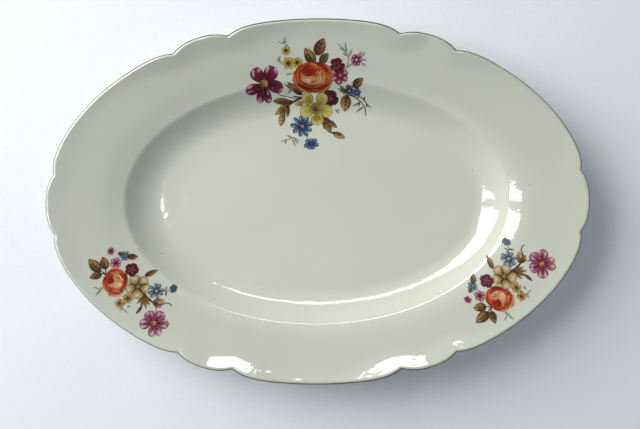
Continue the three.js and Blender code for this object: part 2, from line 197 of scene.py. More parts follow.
def spokes_round_rim():
    """One row of numbers for each spoke: where it starts and points, its reach and its flare."""
    rows = []
    for start, end, lobe in lobes_round_rim():
        middle = (start + end) / 2
        speed = math.hypot(RIM_HALF_LENGTH * math.sin(middle), RIM_HALF_WIDTH * math.cos(middle))
        arc = speed * (end - start)
        for step in range(lobe["steps"]):
            even = step / lobe["steps"]
            across = even - CROWDING * math.sin(2 * math.pi * even) / (2 * math.pi)
            angle = start + (end - start) * across
            cosine, sine = math.cos(angle), math.sin(angle)
            x, y = RIM_HALF_LENGTH * cosine, RIM_HALF_WIDTH * sine
            plain_edge = Vector((x, y))
            normal = Vector((x / RIM_HALF_LENGTH**2, y / RIM_HALF_WIDTH**2)).normalized()
            edge = plain_edge + normal * swell_at(across, arc, lobe)
            shoulder = Vector((SHOULDER_HALF_LENGTH * cosine, SHOULDER_HALF_WIDTH * sine))
            outward = (edge - shoulder).normalized()
            flare_slope, flare_start = flare_at(angle, arc * min(across, 1 - across))
            rows.append({
                "shoulder_x": shoulder.x,
                "shoulder_y": shoulder.y,
                "outward_x": outward.x,
                "outward_y": outward.y,
                "reach": (edge - shoulder).length,
                "plain": (plain_edge - shoulder).length,
                "flare_slope": flare_slope,
                "flare_start": flare_start,
            })
    return rows


def points_with_numbers(name, rows):
    """A mesh of loose points, one for each row, that only carries the row's named numbers."""
    mesh = bpy.data.meshes.new(name)
    mesh.vertices.add(len(rows))
    for column in rows[0]:
        attribute = mesh.attributes.new(column, "FLOAT", "POINT")
        attribute.data.foreach_set("value", np.asarray([row[column] for row in rows], dtype=np.float32))
    made = bpy.data.objects.new(name, mesh)
    scene.collection.objects.link(made)
    return made


spokes = spokes_round_rim()
spoke_points = points_with_numbers("rim_spokes", spokes)
reaches = [spoke["reach"] for spoke in spokes]
print(len(spokes), "spokes, reaching", round(min(reaches), 1), "to", round(max(reaches), 1), "mm")

# %% [markdown]
# ## The section of the platter
#
# A jigger blade shapes a plate in one sweep, so the section is the same kind of curve all the way
# round. It is a chain of straight stretches joined by soft bends: the flat well, the cavetto, a
# collar outside the shoulder, the rim, and a flare at the edge that grows towards each notch.
# Each bend is a parabola between two slopes. The section could be drawn as a curve, but it has to
# stretch with every spoke's reach, and formulas do that without a second drawing. Stations say
# where on the section a ring of the mesh lies: most are a distance from the shoulder, some a share
# of the rim's reach, and the lip's are angles round its half circle.

# %% Driving sizes of the section
FLOOR_HEIGHT = 8.7
CAVETTO = {"width": 13.0, "slope": 0.85, "bend": 9.5}
SHOULDER_BEND = 1.4
COLLAR = {"slope": 0.33, "width": 10.0, "bend": 7.0}
EDGE_HEIGHT = 30.0
FLARE_BEND = 4.0
WALL = 5.0
LIP_RADIUS = 1.7
RECESS_HEIGHT = 4.5
FOOT = {"outside": -11.0, "inside": -17.2, "draft": 0.6, "chamfer": 0.8}
COLLAR_HEIGHT = FLOOR_HEIGHT + CAVETTO["slope"] * CAVETTO["width"] + COLLAR["slope"] * COLLAR["width"]


# %% Heights as formulas on fields
def bend(x, half):
    """Flat before -half, climbing at slope 1 after +half, a parabola in between."""
    inside = between(x, -half, half)
    return (inside + half) * (inside + half) / (4 * half) + (x - half).math("MAXIMUM", 0.0)


def upper_height(out, plain, flare_slope, flare_start):
    """Height of the glaze, `out` beyond the shoulder's crest. Lobes carry on past the plain reach."""
    rim_slope = (plain - COLLAR["width"]).math("POWER", -1.0) * (EDGE_HEIGHT - COLLAR_HEIGHT)
    cavetto = bend(out + CAVETTO["width"], CAVETTO["bend"]) * CAVETTO["slope"]
    crest = bend(out, SHOULDER_BEND) * (CAVETTO["slope"] - COLLAR["slope"])
    collar = bend(out - COLLAR["width"], COLLAR["bend"]) * (COLLAR["slope"] - rim_slope)
    flaring = bend(out - (plain - flare_start), FLARE_BEND) * flare_slope
    return FLOOR_HEIGHT + cavetto - crest - collar + flaring


# %% Stations of the porcelain's section
UNDER_TURN = 8.0
UNDER_EDGE = 12.0
LIP_EDGE = 2.8
FLARE_ZONE = 15.0
COLLAR_RING = 6.0
CREST_RING = -3.0
WELL_RING = -23.0
PLAIN_STATION = dict.fromkeys(("fixed", "share", "under", "lip", "angle", "extra", "given", "height"), 0.0)


def station(shrink=1.0, **numbers):
    """One ring of the section: `fixed` + `share` of the reach, or an angle round the lip."""
    return PLAIN_STATION | {"shrink": shrink} | numbers


def spaced(start, end, steps):
    """Evenly spaced numbers from start up to, but not including, end."""
    return list(np.linspace(start, end, steps, endpoint=False))


def foot_stations():
    """The recess inside the foot ring, and then the ring, as distances and heights."""
    inside, outside, draft, chamfer = FOOT["inside"], FOOT["outside"], FOOT["draft"], FOOT["chamfer"]
    flat_in = inside + draft + chamfer
    flat_out = outside - draft - chamfer
    profile = [
        (inside - 0.8, RECESS_HEIGHT),
        (inside - 0.2, RECESS_HEIGHT - 0.15),
        (inside, RECESS_HEIGHT - 0.7),
        (flat_in - chamfer, chamfer),
        (flat_in - 0.5, 0.3),
        (flat_in, 0.02),
        (flat_in + 0.3, 0),
        (flat_out - 0.3, 0),
        (flat_out, 0.02),
        (flat_out + 0.5, 0.3),
        (flat_out + chamfer, chamfer),
        (outside - 0.2, 4.6),
        (outside + 0.1, 6.0),
    ]
    shrinks = (0, 0.02, 0.3, 0.7)
    recess = [station(shrink, fixed=inside, given=1, height=RECESS_HEIGHT) for shrink in shrinks]
    return recess + [station(fixed=out, given=1, height=height) for out, height in profile]


def porcelain_stations():
    """From the middle of the underside, round the foot and the lip, to the middle of the well."""
    rings = foot_stations()
    rings += [station(fixed=out, under=1) for out in spaced(FOOT["outside"] + 1, UNDER_TURN, 16)]
    for share in spaced(0, 1, 8):
        rings.append(station(fixed=UNDER_TURN - (UNDER_TURN + UNDER_EDGE) * share, share=share, under=1))
    rings += [station(fixed=9 * part - UNDER_EDGE, share=1, under=1) for part in spaced(0, 1, 6)]
    rings += [station(lip=1, angle=angle) for angle in spaced(-90, 90, 12)]
    rings += [station(lip=1, angle=90)]
    rings += [station(fixed=-LIP_EDGE - FLARE_ZONE * part, share=1) for part in spaced(0, 1, 16)]
    for share in spaced(1, 0, 14):
        fixed = COLLAR_RING * (1 - share) - (LIP_EDGE + FLARE_ZONE) * share
        rings.append(station(fixed=fixed, share=share))
    rings += [station(fixed=out) for out in spaced(COLLAR_RING, CREST_RING, 24)]
    rings += [station(fixed=out) for out in spaced(CREST_RING, WELL_RING, 26)]
    rings += [station(shrink, fixed=WELL_RING) for shrink in (1, 0.85, 0.6, 0.3, 0.02, 0)]
    return rings


porcelain_rings = porcelain_stations()
most_triangles = len(spokes) * len(porcelain_rings) * 2
print(len(porcelain_rings), "rings in the section,", most_triangles, "triangles at most")

# %% [markdown]
# ## Sweeping the section round the oval with Geometry Nodes
#
# The sweep could be done with a curve and a profile, but this section changes on the way round.
# So a plain grid is bent into shape instead: each column of the grid looks up its spoke, each row
# looks up its station, and one formula puts the point in place. Where the last column meets the
# first, and where the rings shrink to the middle, points that coincide are merged, which closes
# the seam and both poles. The same tree sweeps the gold line later, from other stations.


# %% A node tree that sweeps stations along spokes
def new_tree(name, inputs):
    """A geometry node tree with named inputs, and a geometry output."""
    tree = bpy.data.node_groups.new(name, "GeometryNodeTree")
    for label, kind in inputs:
        tree.interface.new_socket(label, in_out="INPUT", socket_type=kind)
    tree.interface.new_socket("Geometry", in_out="OUTPUT", socket_type="NodeSocketGeometry")
    return tree, tree.nodes.new("NodeGroupInput"), tree.nodes.new("NodeGroupOutput")


def looked_up(tree, geometry, row, column):
    """The number named `column` of one point of another geometry."""
    named = add_node(tree, "GeometryNodeInputNamedAttribute", {"Name": column}, data_type="FLOAT")
    inputs = {"Geometry": geometry, "Index": row}
    sample = add_node(tree, "GeometryNodeSampleIndex", inputs, data_type="FLOAT")
    tree.links.new(named.outputs[0], sample.inputs["Value"])
    return Field(tree, sample.outputs[0])


def build_sweep_tree():
    tree, inputs, outputs = new_tree("sweep_section_round_oval", [
        ("Geometry", "NodeSocketGeometry"),
        ("Spokes", "NodeSocketObject"),
        ("Stations", "NodeSocketObject"),
        ("Spoke count", "NodeSocketInt"),
        ("Station count", "NodeSocketInt"),
        ("Lip radius", "NodeSocketFloat"),
        ("Waver", "NodeSocketFloat"),
        ("Seed", "NodeSocketInt"),
        ("Finish", "NodeSocketMaterial"),
    ])
    spoke_count = Field(tree, inputs.outputs["Spoke count"])
    station_count = Field(tree, inputs.outputs["Station count"])
    counts = {"Vertices X": spoke_count + 1.0, "Vertices Y": station_count}
    grid = add_node(tree, "GeometryNodeMeshGrid", counts)
    index = Field(tree, tree.nodes.new("GeometryNodeInputIndex").outputs[0])
    column = (index / station_count).math("FLOOR")
    spoke_row = column.math("MODULO", spoke_count)
    station_row = index - column * station_count
    spoke_info = add_node(tree, "GeometryNodeObjectInfo", {"Object": inputs.outputs["Spokes"]})
    station_info = add_node(tree, "GeometryNodeObjectInfo", {"Object": inputs.outputs["Stations"]})

    def spoke(name):
        return looked_up(tree, spoke_info.outputs["Geometry"], spoke_row, name)

    def ring(name):
        return looked_up(tree, station_info.outputs["Geometry"], station_row, name)

    reach, rim = spoke("reach"), (spoke("plain"), spoke("flare_slope"), spoke("flare_start"))
    out = ring("fixed") + ring("share") * reach
    thinning = between(out / reach, 0.0, 1.0)
    wall = WALL + thinning * (2 * LIP_RADIUS - WALL)
    height = upper_height(out, *rim) - wall * ring("under")
    height = height + (ring("height") - height) * ring("given")

    near = reach - 2 * LIP_RADIUS
    rise = upper_height(near + 0.5, *rim) - upper_height(near - 0.5, *rim)
    tilt = rise.math("ARCTANGENT")
    lip_start = reach - (tilt.math("SINE") + 1.0) * LIP_RADIUS
    lip_centre = upper_height(lip_start, *rim) - tilt.math("COSINE") * LIP_RADIUS
    place = add_node(tree, "ShaderNodeCombineXYZ", {"X": spoke("shoulder_x"), "Y": spoke("shoulder_y")})
    noise = add_node(tree, "ShaderNodeTexNoise", {"Vector": place.outputs[0], "Scale": 0.06, "Detail": 4.0},
                     noise_dimensions="4D")
    tree.links.new(inputs.outputs["Seed"], noise.inputs["W"])
    waver = (Field(tree, noise.outputs[0]) - 0.5) * Field(tree, inputs.outputs["Waver"])
    angle = (ring("angle") + waver).math("RADIANS") + tilt
    radius = Field(tree, inputs.outputs["Lip radius"]) + ring("extra")
    lip_out = reach - LIP_RADIUS + angle.math("COSINE") * radius
    lip_height = lip_centre + angle.math("SINE") * radius

    on_lip = ring("lip")
    out = out + (lip_out - out) * on_lip
    height = height + (lip_height - height) * on_lip
    shrink = ring("shrink")
    x = (spoke("shoulder_x") + spoke("outward_x") * out) * shrink
    y = (spoke("shoulder_y") + spoke("outward_y") * out) * shrink
    position = add_node(tree, "ShaderNodeCombineXYZ", {"X": x * MM, "Y": y * MM, "Z": height * MM})
    moved = add_node(tree, "GeometryNodeSetPosition",
                     {"Geometry": grid.outputs["Mesh"], "Position": position.outputs[0]})
    merged = add_node(tree, "GeometryNodeMergeByDistance", {"Geometry": moved.outputs[0], "Distance": 1e-6})
    smooth = add_node(tree, "GeometryNodeSetShadeSmooth", {"Geometry": merged.outputs[0]})
    real = add_node(tree, "GeometryNodeRealizeInstances", {"Geometry": smooth.outputs[0]})
    finish = add_node(tree, "GeometryNodeSetMaterial",
                      {"Geometry": real.outputs[0], "Material": inputs.outputs["Finish"]})
    tree.links.new(finish.outputs[0], outputs.inputs[0])
    return tree


def through_nodes(piece, tree, settings):
    """Runs a tree on a piece with its inputs set by name, and keeps the plain mesh."""
    modifier = piece.modifiers.new(tree.name, "NODES")
    modifier.node_group = tree
    for item in tree.interface.items_tree:
        if item.name in settings:
            modifier[item.identifier] = settings[item.name]
    graph = bpy.context.evaluated_depsgraph_get()
    mesh = bpy.data.meshes.new_from_object(piece.evaluated_get(graph), depsgraph=graph)
    piece.modifiers.remove(modifier)
    piece.data = mesh
    mesh.name = piece.name
    return mesh


sweep_tree = build_sweep_tree()
print("the sweep tree has", len(sweep_tree.nodes), "nodes")


# %% Sweep a piece from its stations
def signed_volume(mesh):
    """Volume in cubic centimetres, negative if the faces point inwards."""
    work = bmesh.new()
    work.from_mesh(mesh)
    volume = work.calc_volume(signed=True)
    work.free()
    return volume * 1e6


def sweep(name, rings, finish, waver=0.0, seed=0):
    """A closed piece swept round the oval from its rings, lying in its final place."""
    stations = points_with_numbers(name + "_stations", rings)
    piece = bpy.data.objects.new(name, bpy.data.meshes.new(name))
    scene.collection.objects.link(piece)
    mesh = through_nodes(piece, sweep_tree, {
        "Spokes": spoke_points,
        "Stations": stations,
        "Spoke count": len(spokes),
        "Station count": len(rings),
        "Lip radius": LIP_RADIUS,
        "Waver": waver,
        "Seed": seed,
        "Finish": finish,
    })
    bpy.data.objects.remove(stations)
    if signed_volume(mesh) < 0:
        mesh.flip_normals()
    print(name, len(mesh.vertices), "vertices,", round(signed_volume(mesh), 2), "cm3")
    return piece


# %% [markdown]
# ## Glaze over porcelain
#
# The body is a slightly greenish ivory porcelain under a clear, hard glaze. Light goes through
# the glaze, scatters in the white body, and also mirrors sharply off the surface. A glass shell
# over a white one would be truer and slow to render. A coat layer does nearly the same: a pale
# diffuse base, and over it a clear coat with almost no roughness. Fired glaze is
# never perfectly even, so slow noise shifts its tone a little, fine noise leaves a faint orange
# peel, and scattered pinpricks are iron specks and pinholes. The rim, high above the well, is
# painted a little greyer: this is painted shade, which darkens the whole rim against the well.
# The foot ring is wiped clean of glaze before firing, so it is bare, matt and a little darker.


# %% Colours and materials
def colour_of(code):
    """An sRGB colour such as "d8dccd" as linear red, green and blue, and full opacity."""
    parts = [int(code[place : place + 2], 16) / 255 for place in (0, 2, 4)]
    linear = [part / 12.92 if part <= 0.04045 else ((part + 0.055) / 1.055) ** 2.4 for part in parts]
    return (*linear, 1.0)


def new_material(name):
    """A material with an empty Principled shader, and its coordinates."""
    material = bpy.data.materials.new(name)
    material.use_nodes = True
    tree = material.node_tree
    return material, tree, tree.nodes["Principled BSDF"], tree.nodes.new("ShaderNodeTexCoord")


def ramp(tree, factor, stops):
    """A colour ramp read by a field, from (place, colour code) stops."""
    node = add_node(tree, "ShaderNodeValToRGB", {"Fac": factor})
    while len(node.color_ramp.elements) < len(stops):
        node.color_ramp.elements.new(0.5)
    for element, (place, code) in zip(node.color_ramp.elements, stops):
        element.position = place
        element.color = colour_of(code)
    return node.outputs["Color"]


def noise_of(tree, vector, scale, detail=2.0, roughness=0.5):
    inputs = {"Vector": vector, "Scale": scale, "Detail": detail, "Roughness": roughness}
    return Field(tree, add_node(tree, "ShaderNodeTexNoise", inputs).outputs["Fac"])


def blend_colours(tree, share, first, second):
    """Two colours, each a socket or a code, blended by a field."""
    node = add_node(tree, "ShaderNodeMix", {0: share}, data_type="RGBA")
    for place, value in ((6, first), (7, second)):
        if isinstance(value, str):
            node.inputs[place].default_value = colour_of(value)
        else:
            tree.links.new(value, node.inputs[place])
    return node.outputs[2]


def step_up(field, start, end):
    """0 below start, 1 above end, smooth between."""
    inputs = {"Value": field, "From Min": start, "From Max": end}
    node = add_node(field.tree, "ShaderNodeMapRange", inputs, interpolation_type="SMOOTHSTEP")
    return Field(field.tree, node.outputs[0])


# %% The glaze and the bare foot
IRON_SPECKS = [
    (-66, 57, 0.35), (-106, -34, 0.4), (106, 21, 0.3),
    (115, -22, 0.35), (132, 11, 0.4), (141, 11, 0.4),
]
GLAZE_TONES = [(0.3, "dadcc8"), (0.7, "dfe1ce")]
# The third colour is painted shade: a greyer tone that darkens the whole rim.
IRON, PINHOLE, RIM_SHADE_TONE, BISCUIT = "54503f", "5b5346", "bcbfae", "cfc6b4"
PINHOLE_SPACING = 21
CELLS_WITH_PINHOLE = (0.80, 0.82)
PINHOLE_EDGE = (0.008, 0.02)
# Heights in millimetres over which the painted shade on the rim fades in.
RIM_SHADE_HEIGHTS = (19, 24)
BARE_ZONE = (0.35, 0.6)


def near_spot(tree, flat, x, y, radius):
    """1 within a round spot of the surface seen from above, in millimetres, and 0 outside it."""
    spot = {0: flat, 1: (x * MM, y * MM, 0)}
    distance = add_node(tree, "ShaderNodeVectorMath", spot, operation="DISTANCE").outputs["Value"]
    return 1.0 - step_up(Field(tree, distance), 0.5 * radius * MM, 1.6 * radius * MM)


def glazed_porcelain():
    material, tree, shader, place = new_material("glazed_porcelain")
    where = place.outputs["Object"]
    tone = ramp(tree, noise_of(tree, where, 9.0, 3.0), GLAZE_TONES)
    cells = add_node(tree, "ShaderNodeTexVoronoi", {"Vector": where, "Scale": 1 / (PINHOLE_SPACING * MM)})
    chosen = step_up(Field(tree, cells.outputs["Color"]), *CELLS_WITH_PINHOLE)
    pinhole = (1.0 - step_up(Field(tree, cells.outputs["Distance"]), *PINHOLE_EDGE)) * chosen
    colour = blend_colours(tree, pinhole * 0.75, tone, PINHOLE)
    height = Field(tree, add_node(tree, "ShaderNodeSeparateXYZ", {"Vector": where}).outputs["Z"])
    flat = add_node(tree, "ShaderNodeVectorMath", {0: where, 1: (1, 1, 0)}, operation="MULTIPLY").outputs[0]
    for x, y, radius in IRON_SPECKS:
        colour = blend_colours(tree, near_spot(tree, flat, x, y, radius) * 0.7, colour, IRON)
    # Painted shade: above these heights the rim is blended a little towards a greyer tone, which darkens
    # the whole rim against the well.
    rim_painted_shade = step_up(height, RIM_SHADE_HEIGHTS[0] * MM, RIM_SHADE_HEIGHTS[1] * MM)
    colour = blend_colours(tree, rim_painted_shade * 0.36, colour, RIM_SHADE_TONE)
    bare = 1.0 - step_up(height, BARE_ZONE[0] * MM, BARE_ZONE[1] * MM)
    colour = blend_colours(tree, bare, colour, BISCUIT)
    tree.links.new(colour, shader.inputs["Base Color"])
    tree.links.new((0.07 + bare * 0.6).socket, shader.inputs["Roughness"])
    tree.links.new((1.0 - bare).socket, shader.inputs["Coat Weight"])
    shader.inputs["Coat Roughness"].default_value = 0.025
    shader.inputs["Coat IOR"].default_value = 1.55
    shader.inputs["IOR"].default_value = 1.5
    peel = noise_of(tree, where, 700.0, 2.0) * 0.02 + noise_of(tree, where, 70.0, 3.0, 0.45)
    bump = add_node(tree, "ShaderNodeBump", {"Height": peel, "Strength": 1.0, "Distance": 0.3 * MM})
    tree.links.new(bump.outputs[0], shader.inputs["Normal"])
    tree.links.new(bump.outputs[0], shader.inputs["Coat Normal"])
    return material


body = sweep("porcelain_platter", porcelain_rings, glazed_porcelain())
foot_level = min(vertex.co.z for vertex in body.data.vertices)
print("the foot stands at", round(foot_level / MM, 3), "mm")
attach(body, "root")
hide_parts("platter_body")

# %% [markdown]
# ## The gold line
#
# The edge is banded by hand: the platter turns on a wheel while a brush with liquid gold rests on
# the lip. The line is about two millimetres wide, most of it on the outside of the lip. It wavers
# a little, and washing wears it thin in patches, where it turns brown. It could be cut out of the
# body's lip as a second material, but the real gold lies on the glaze, so it gets a body of its
# own. The sweep tree makes it from six angles round the lip, once just under the glaze's surface
# and once just over it.

# %% Sweep and finish the gold line
GILT_EDGE = 36
GILT_RISE = 0.04
GILT_WAVER = 14
GOLD, BROWN_GOLD, WORN_GOLD = "735a2a", "40300f", "3f3122"


def gilt_stations():
    angles = np.linspace(GILT_EDGE, -GILT_EDGE, 6)
    inner = [station(lip=1, angle=angle, extra=-GILT_RISE) for angle in angles]
    outer = [station(lip=1, angle=angle, extra=GILT_RISE) for angle in angles[::-1]]
    return inner + outer + inner[:1]


def worn_gold():
    material, tree, shader, place = new_material("worn_gilding")
    where = place.outputs["Object"]
    patches = step_up(noise_of(tree, where, 55.0, 5.0, 0.7), 0.42, 0.62)
    colour = blend_colours(tree, patches, BROWN_GOLD, GOLD)
    thin = step_up(noise_of(tree, where, 160.0, 4.0, 0.8), 0.6, 0.7)
    colour = blend_colours(tree, thin * 0.6, colour, WORN_GOLD)
    tree.links.new(colour, shader.inputs["Base Color"])
    tree.links.new((1.0 - thin * 0.5).socket, shader.inputs["Metallic"])
    rough = 0.3 + noise_of(tree, where, 300.0, 2.0) * 0.25
    tree.links.new(rough.socket, shader.inputs["Roughness"])
    return material


gilt = sweep("gilt_line", gilt_stations(), worn_gold(), waver=GILT_WAVER, seed=4)
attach(gilt, "root")
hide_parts("gilt_edge_line")

# %% [markdown]
# ## Three sprays of flowers
#
# The flowers were printed on paper in ceramic colours, slid on to the glaze and fired until they
# sank in. Under a glass each one is a heap of translucent touches: petals, veins, outlines, hearts.
# They could be a picture wrapped on the platter, but touches keep their edges sharp at any
# distance and are made the way an engraver made them. Every touch here is one stroke from a start
# to an end, with a width, a fullness and four colours: at its start, middle, end and edge.

# %% The engraver's colours
PAINTS = {
    "plum": ("4a0016", "66082c", "842c4e", "260010"),
    "mauve": ("86405e", "bc879c", "dcbcc0", "702c48"),
    "wine": ("2c0004", "480410", "6a1a2a", "220004"),
    "garnet": ("5c0c20", "842c44", "a05464", "3c0414"),
    "pink": ("641630", "92445e", "ae7884", "481020"),
    "blush": ("9a5a70", "c498a2", "dcc2c2", "8a4a60"),
    "magenta": ("560c28", "7e2446", "a05472", "380618"),
    "coral": ("8a2804", "b64c12", "cc7030", "84300a"),
    "peach": ("b65c28", "cb8450", "d8a478", "984a1c"),
    "cream": ("c48454", "d8a682", "e2bea0", "b47444"),
    "ember": ("861400", "ae2e00", "c65214", "6c0c00"),
    "crimson": ("660400", "8e1000", "a62602", "4c0200"),
    "crease": ("4c1204", "5e180a", "762810", "400c02"),
    "lime": ("8e7e20", "b4a84a", "c4ba66", "74640e"),
    "lime_light": ("c6ba70", "d6cc8e", "dcd49c", "b4a658"),
    "lime_shade": ("786610", "907e22", "a69438", "64540c"),
    "straw": ("6e521c", "a68e56", "c2ae7c", "563e10"),
    "straw_light": ("b49e66", "cbb98a", "d6c69c", "a08a54"),
    "blue": ("081638", "2a3f6c", "4a5e84", "061028"),
    "sky": ("42567e", "72849e", "949eae", "30446a"),
    "slate": ("1c2838", "44546a", "667486", "18222e"),
    "mist": ("66768a", "8c9aa6", "a8b2b6", "546474"),
    "brown": ("3c260c", "765220", "a27e46", "281806"),
    "umber": ("281806", "40280c", "583a18", "221404"),
    "olive": ("3a3214", "645628", "84784a", "2c2610"),
    "tan": ("5e3e14", "9c7432", "c29c5c", "4a300e"),
    "sand": ("9c7436", "bf9a5e", "d2b480", "84602c"),
    "yellow": ("6e5a04", "a48e1e", "c2b04e", "5a4604"),
    "lemon": ("a8963a", "c6b86c", "d4ca90", "928028"),
    "grey": ("70745e", "8a8e78", "a2a68e", "646852"),
    "rust": ("5c3024", "80503e", "9c7460", "422016"),
    "copper": ("7e3e1c", "b06e4c", "c68e6e", "5e2c12"),
    "white": ("c0a8a6", "d6c6c0", "e2d8d0", "a88c88"),
}


# %% A pad of strokes
class Pad:
    """Strokes of one motif, in millimetres, each laid over the ones before it."""

    def __init__(self, seed):
        self.strokes = []
        self.chance = np.random.default_rng(seed)

    def stroke(self, start, end, width, paint, bow=0.0, belly=0.5, full=0.6, wave=0.0, cleft=0.0):
        """From start to end: `bow` bends it, `belly` is where it is widest, `cleft` notches its end."""
        power = math.log(0.5) / math.log(belly)
        self.strokes.append(dict(start=start, end=end, width=width, paint=paint, bow=bow, belly=power,
                                 full=full, wave=wave, cleft=cleft))

    def around(self, x, y, direction, length):
        """The place at a direction and a distance from x, y."""
        angle = math.radians(direction)
        return Vector((x + length * math.cos(angle), y + length * math.sin(angle)))

    def ray(self, x, y, near, far, width, paint, **more):
        """A stroke between two places, each a direction and a distance from x, y."""
        self.stroke(self.around(x, y, *near), self.around(x, y, *far), width, paint, **more)

    def disc(self, x, y, half_width, half_height, paint, turn=0.0):
        reach = Vector((math.cos(math.radians(turn)), math.sin(math.radians(turn)))) * half_width
        middle = Vector((x, y))
        self.stroke(middle - reach, middle + reach, 2 * half_height, paint, full=0.5)

    def along(self, places, width, paint):
        """A line through places, thinning out, as short strokes that overlap at the joins."""
        for count, (start, end) in enumerate(zip(places, places[1:])):
            thin = width * (1 - 0.35 * count / max(1, len(places) - 1))
            step = Vector(end) - Vector(start)
            over = step.normalized() * thin * 0.3
            self.stroke(Vector(start) - over, Vector(end) + over, thin, paint, full=0.15)

    def floret(self, x, y, radius, count, paint, shine, heart, turn=0.0, squeeze=1.0, heart_size=0.2,
               plump=4.0, lit=(0.4, 0.84)):
        """A little flower: petals round a heart, each with a lighter touch."""
        for petal in range(count):
            direction = turn + 360 * petal / count + self.chance.uniform(-6, 6)
            reach = radius * self.chance.uniform(0.9, 1.04)
            angle = math.radians(direction)
            reach *= math.hypot(math.cos(angle), squeeze * math.sin(angle))
            width = plump * radius / count * self.chance.uniform(0.85, 1.12)
            self.ray(x, y, (direction, 0.08 * reach), (direction, reach), width, paint,
                     belly=0.66, full=0.5)
            self.ray(x, y, (direction + 9, lit[0] * reach), (direction + 5, lit[1] * reach), width * 0.34,
                     shine, belly=0.6, full=0.6)
        self.disc(x, y, heart_size * radius, 0.9 * heart_size * radius, heart)
        for dot in range(4):
            place = self.around(x, y, 90 * dot + turn, 1.2 * heart_size * radius)
            self.disc(*place, 0.06 * radius, 0.05 * radius, "umber")

    def leaf(self, start, end, width, paint, dark="umber", light=None, belly=0.42, veins=3, wave=0.08):
        """A leaf with a light half, a shaded edge, a midrib and a few side veins."""
        start, light = Vector(start), light or paint
        along = Vector(end) - start
        side = Vector((-along.y, along.x)).normalized()

        def at(share, off):
            return start + along * share + side * width * off

        self.stroke(start, end, width, paint, belly=belly, full=0.9, wave=wave)
        self.stroke(at(0.1, -0.2), at(0.82, -0.12), width * 0.36, light, belly=belly, full=0.8, wave=wave)
        self.stroke(at(0.04, 0.1), at(0.98, 0.02), width * 0.2, dark,
                    bow=0.28 * width, full=0.9, wave=2 * wave)
        self.stroke(at(0.5, 0.12), at(0.84, 0.1), width * 0.2, light, full=0.8)
        self.stroke(start, at(0.95, 0), width * 0.08 + 0.1, dark, full=0.3)
        for count in range(veins):
            place = start + along * (0.14 + 0.66 * count / veins + self.chance.uniform(-0.04, 0.04))
            for hand in (-1, 1):
                far = place + along * 0.17 + side * hand * width * self.chance.uniform(0.14, 0.32)
                self.stroke(place, far, width * 0.05 + 0.08, dark, full=0.5, bow=0.03 * width * hand)

    def sprig(self, places, width, leaves, paint="grey"):
        """A thin stalk with small leaves, each leaf from its foot to its tip."""
        self.along(places, width, paint)
        for start, end in leaves:
            self.stroke(start, end, 1.7 * width, paint, belly=0.55, full=0.8)


# %% [markdown]
# ## A tree that lays strokes on the glaze
#
# Every stroke starts as the same thin closed box. Geometry Nodes puts one box on each point of the
# pad, bends it into the stroke's outline, and drops it on to the glaze along a vertical ray. The
# later a stroke was laid, the higher it lies, by little more than a thousandth of a millimetre
# each. Curves with a thickness would do for stalks, but not for petals with a notched end.

# %% Outline, drop and thickness in one tree
ENAMEL_RISE = 0.05
LAYER_STEP = 0.0015
SUNK = 0.01
RUFFLES = 44.0
SHARP_EDGE = 0.6


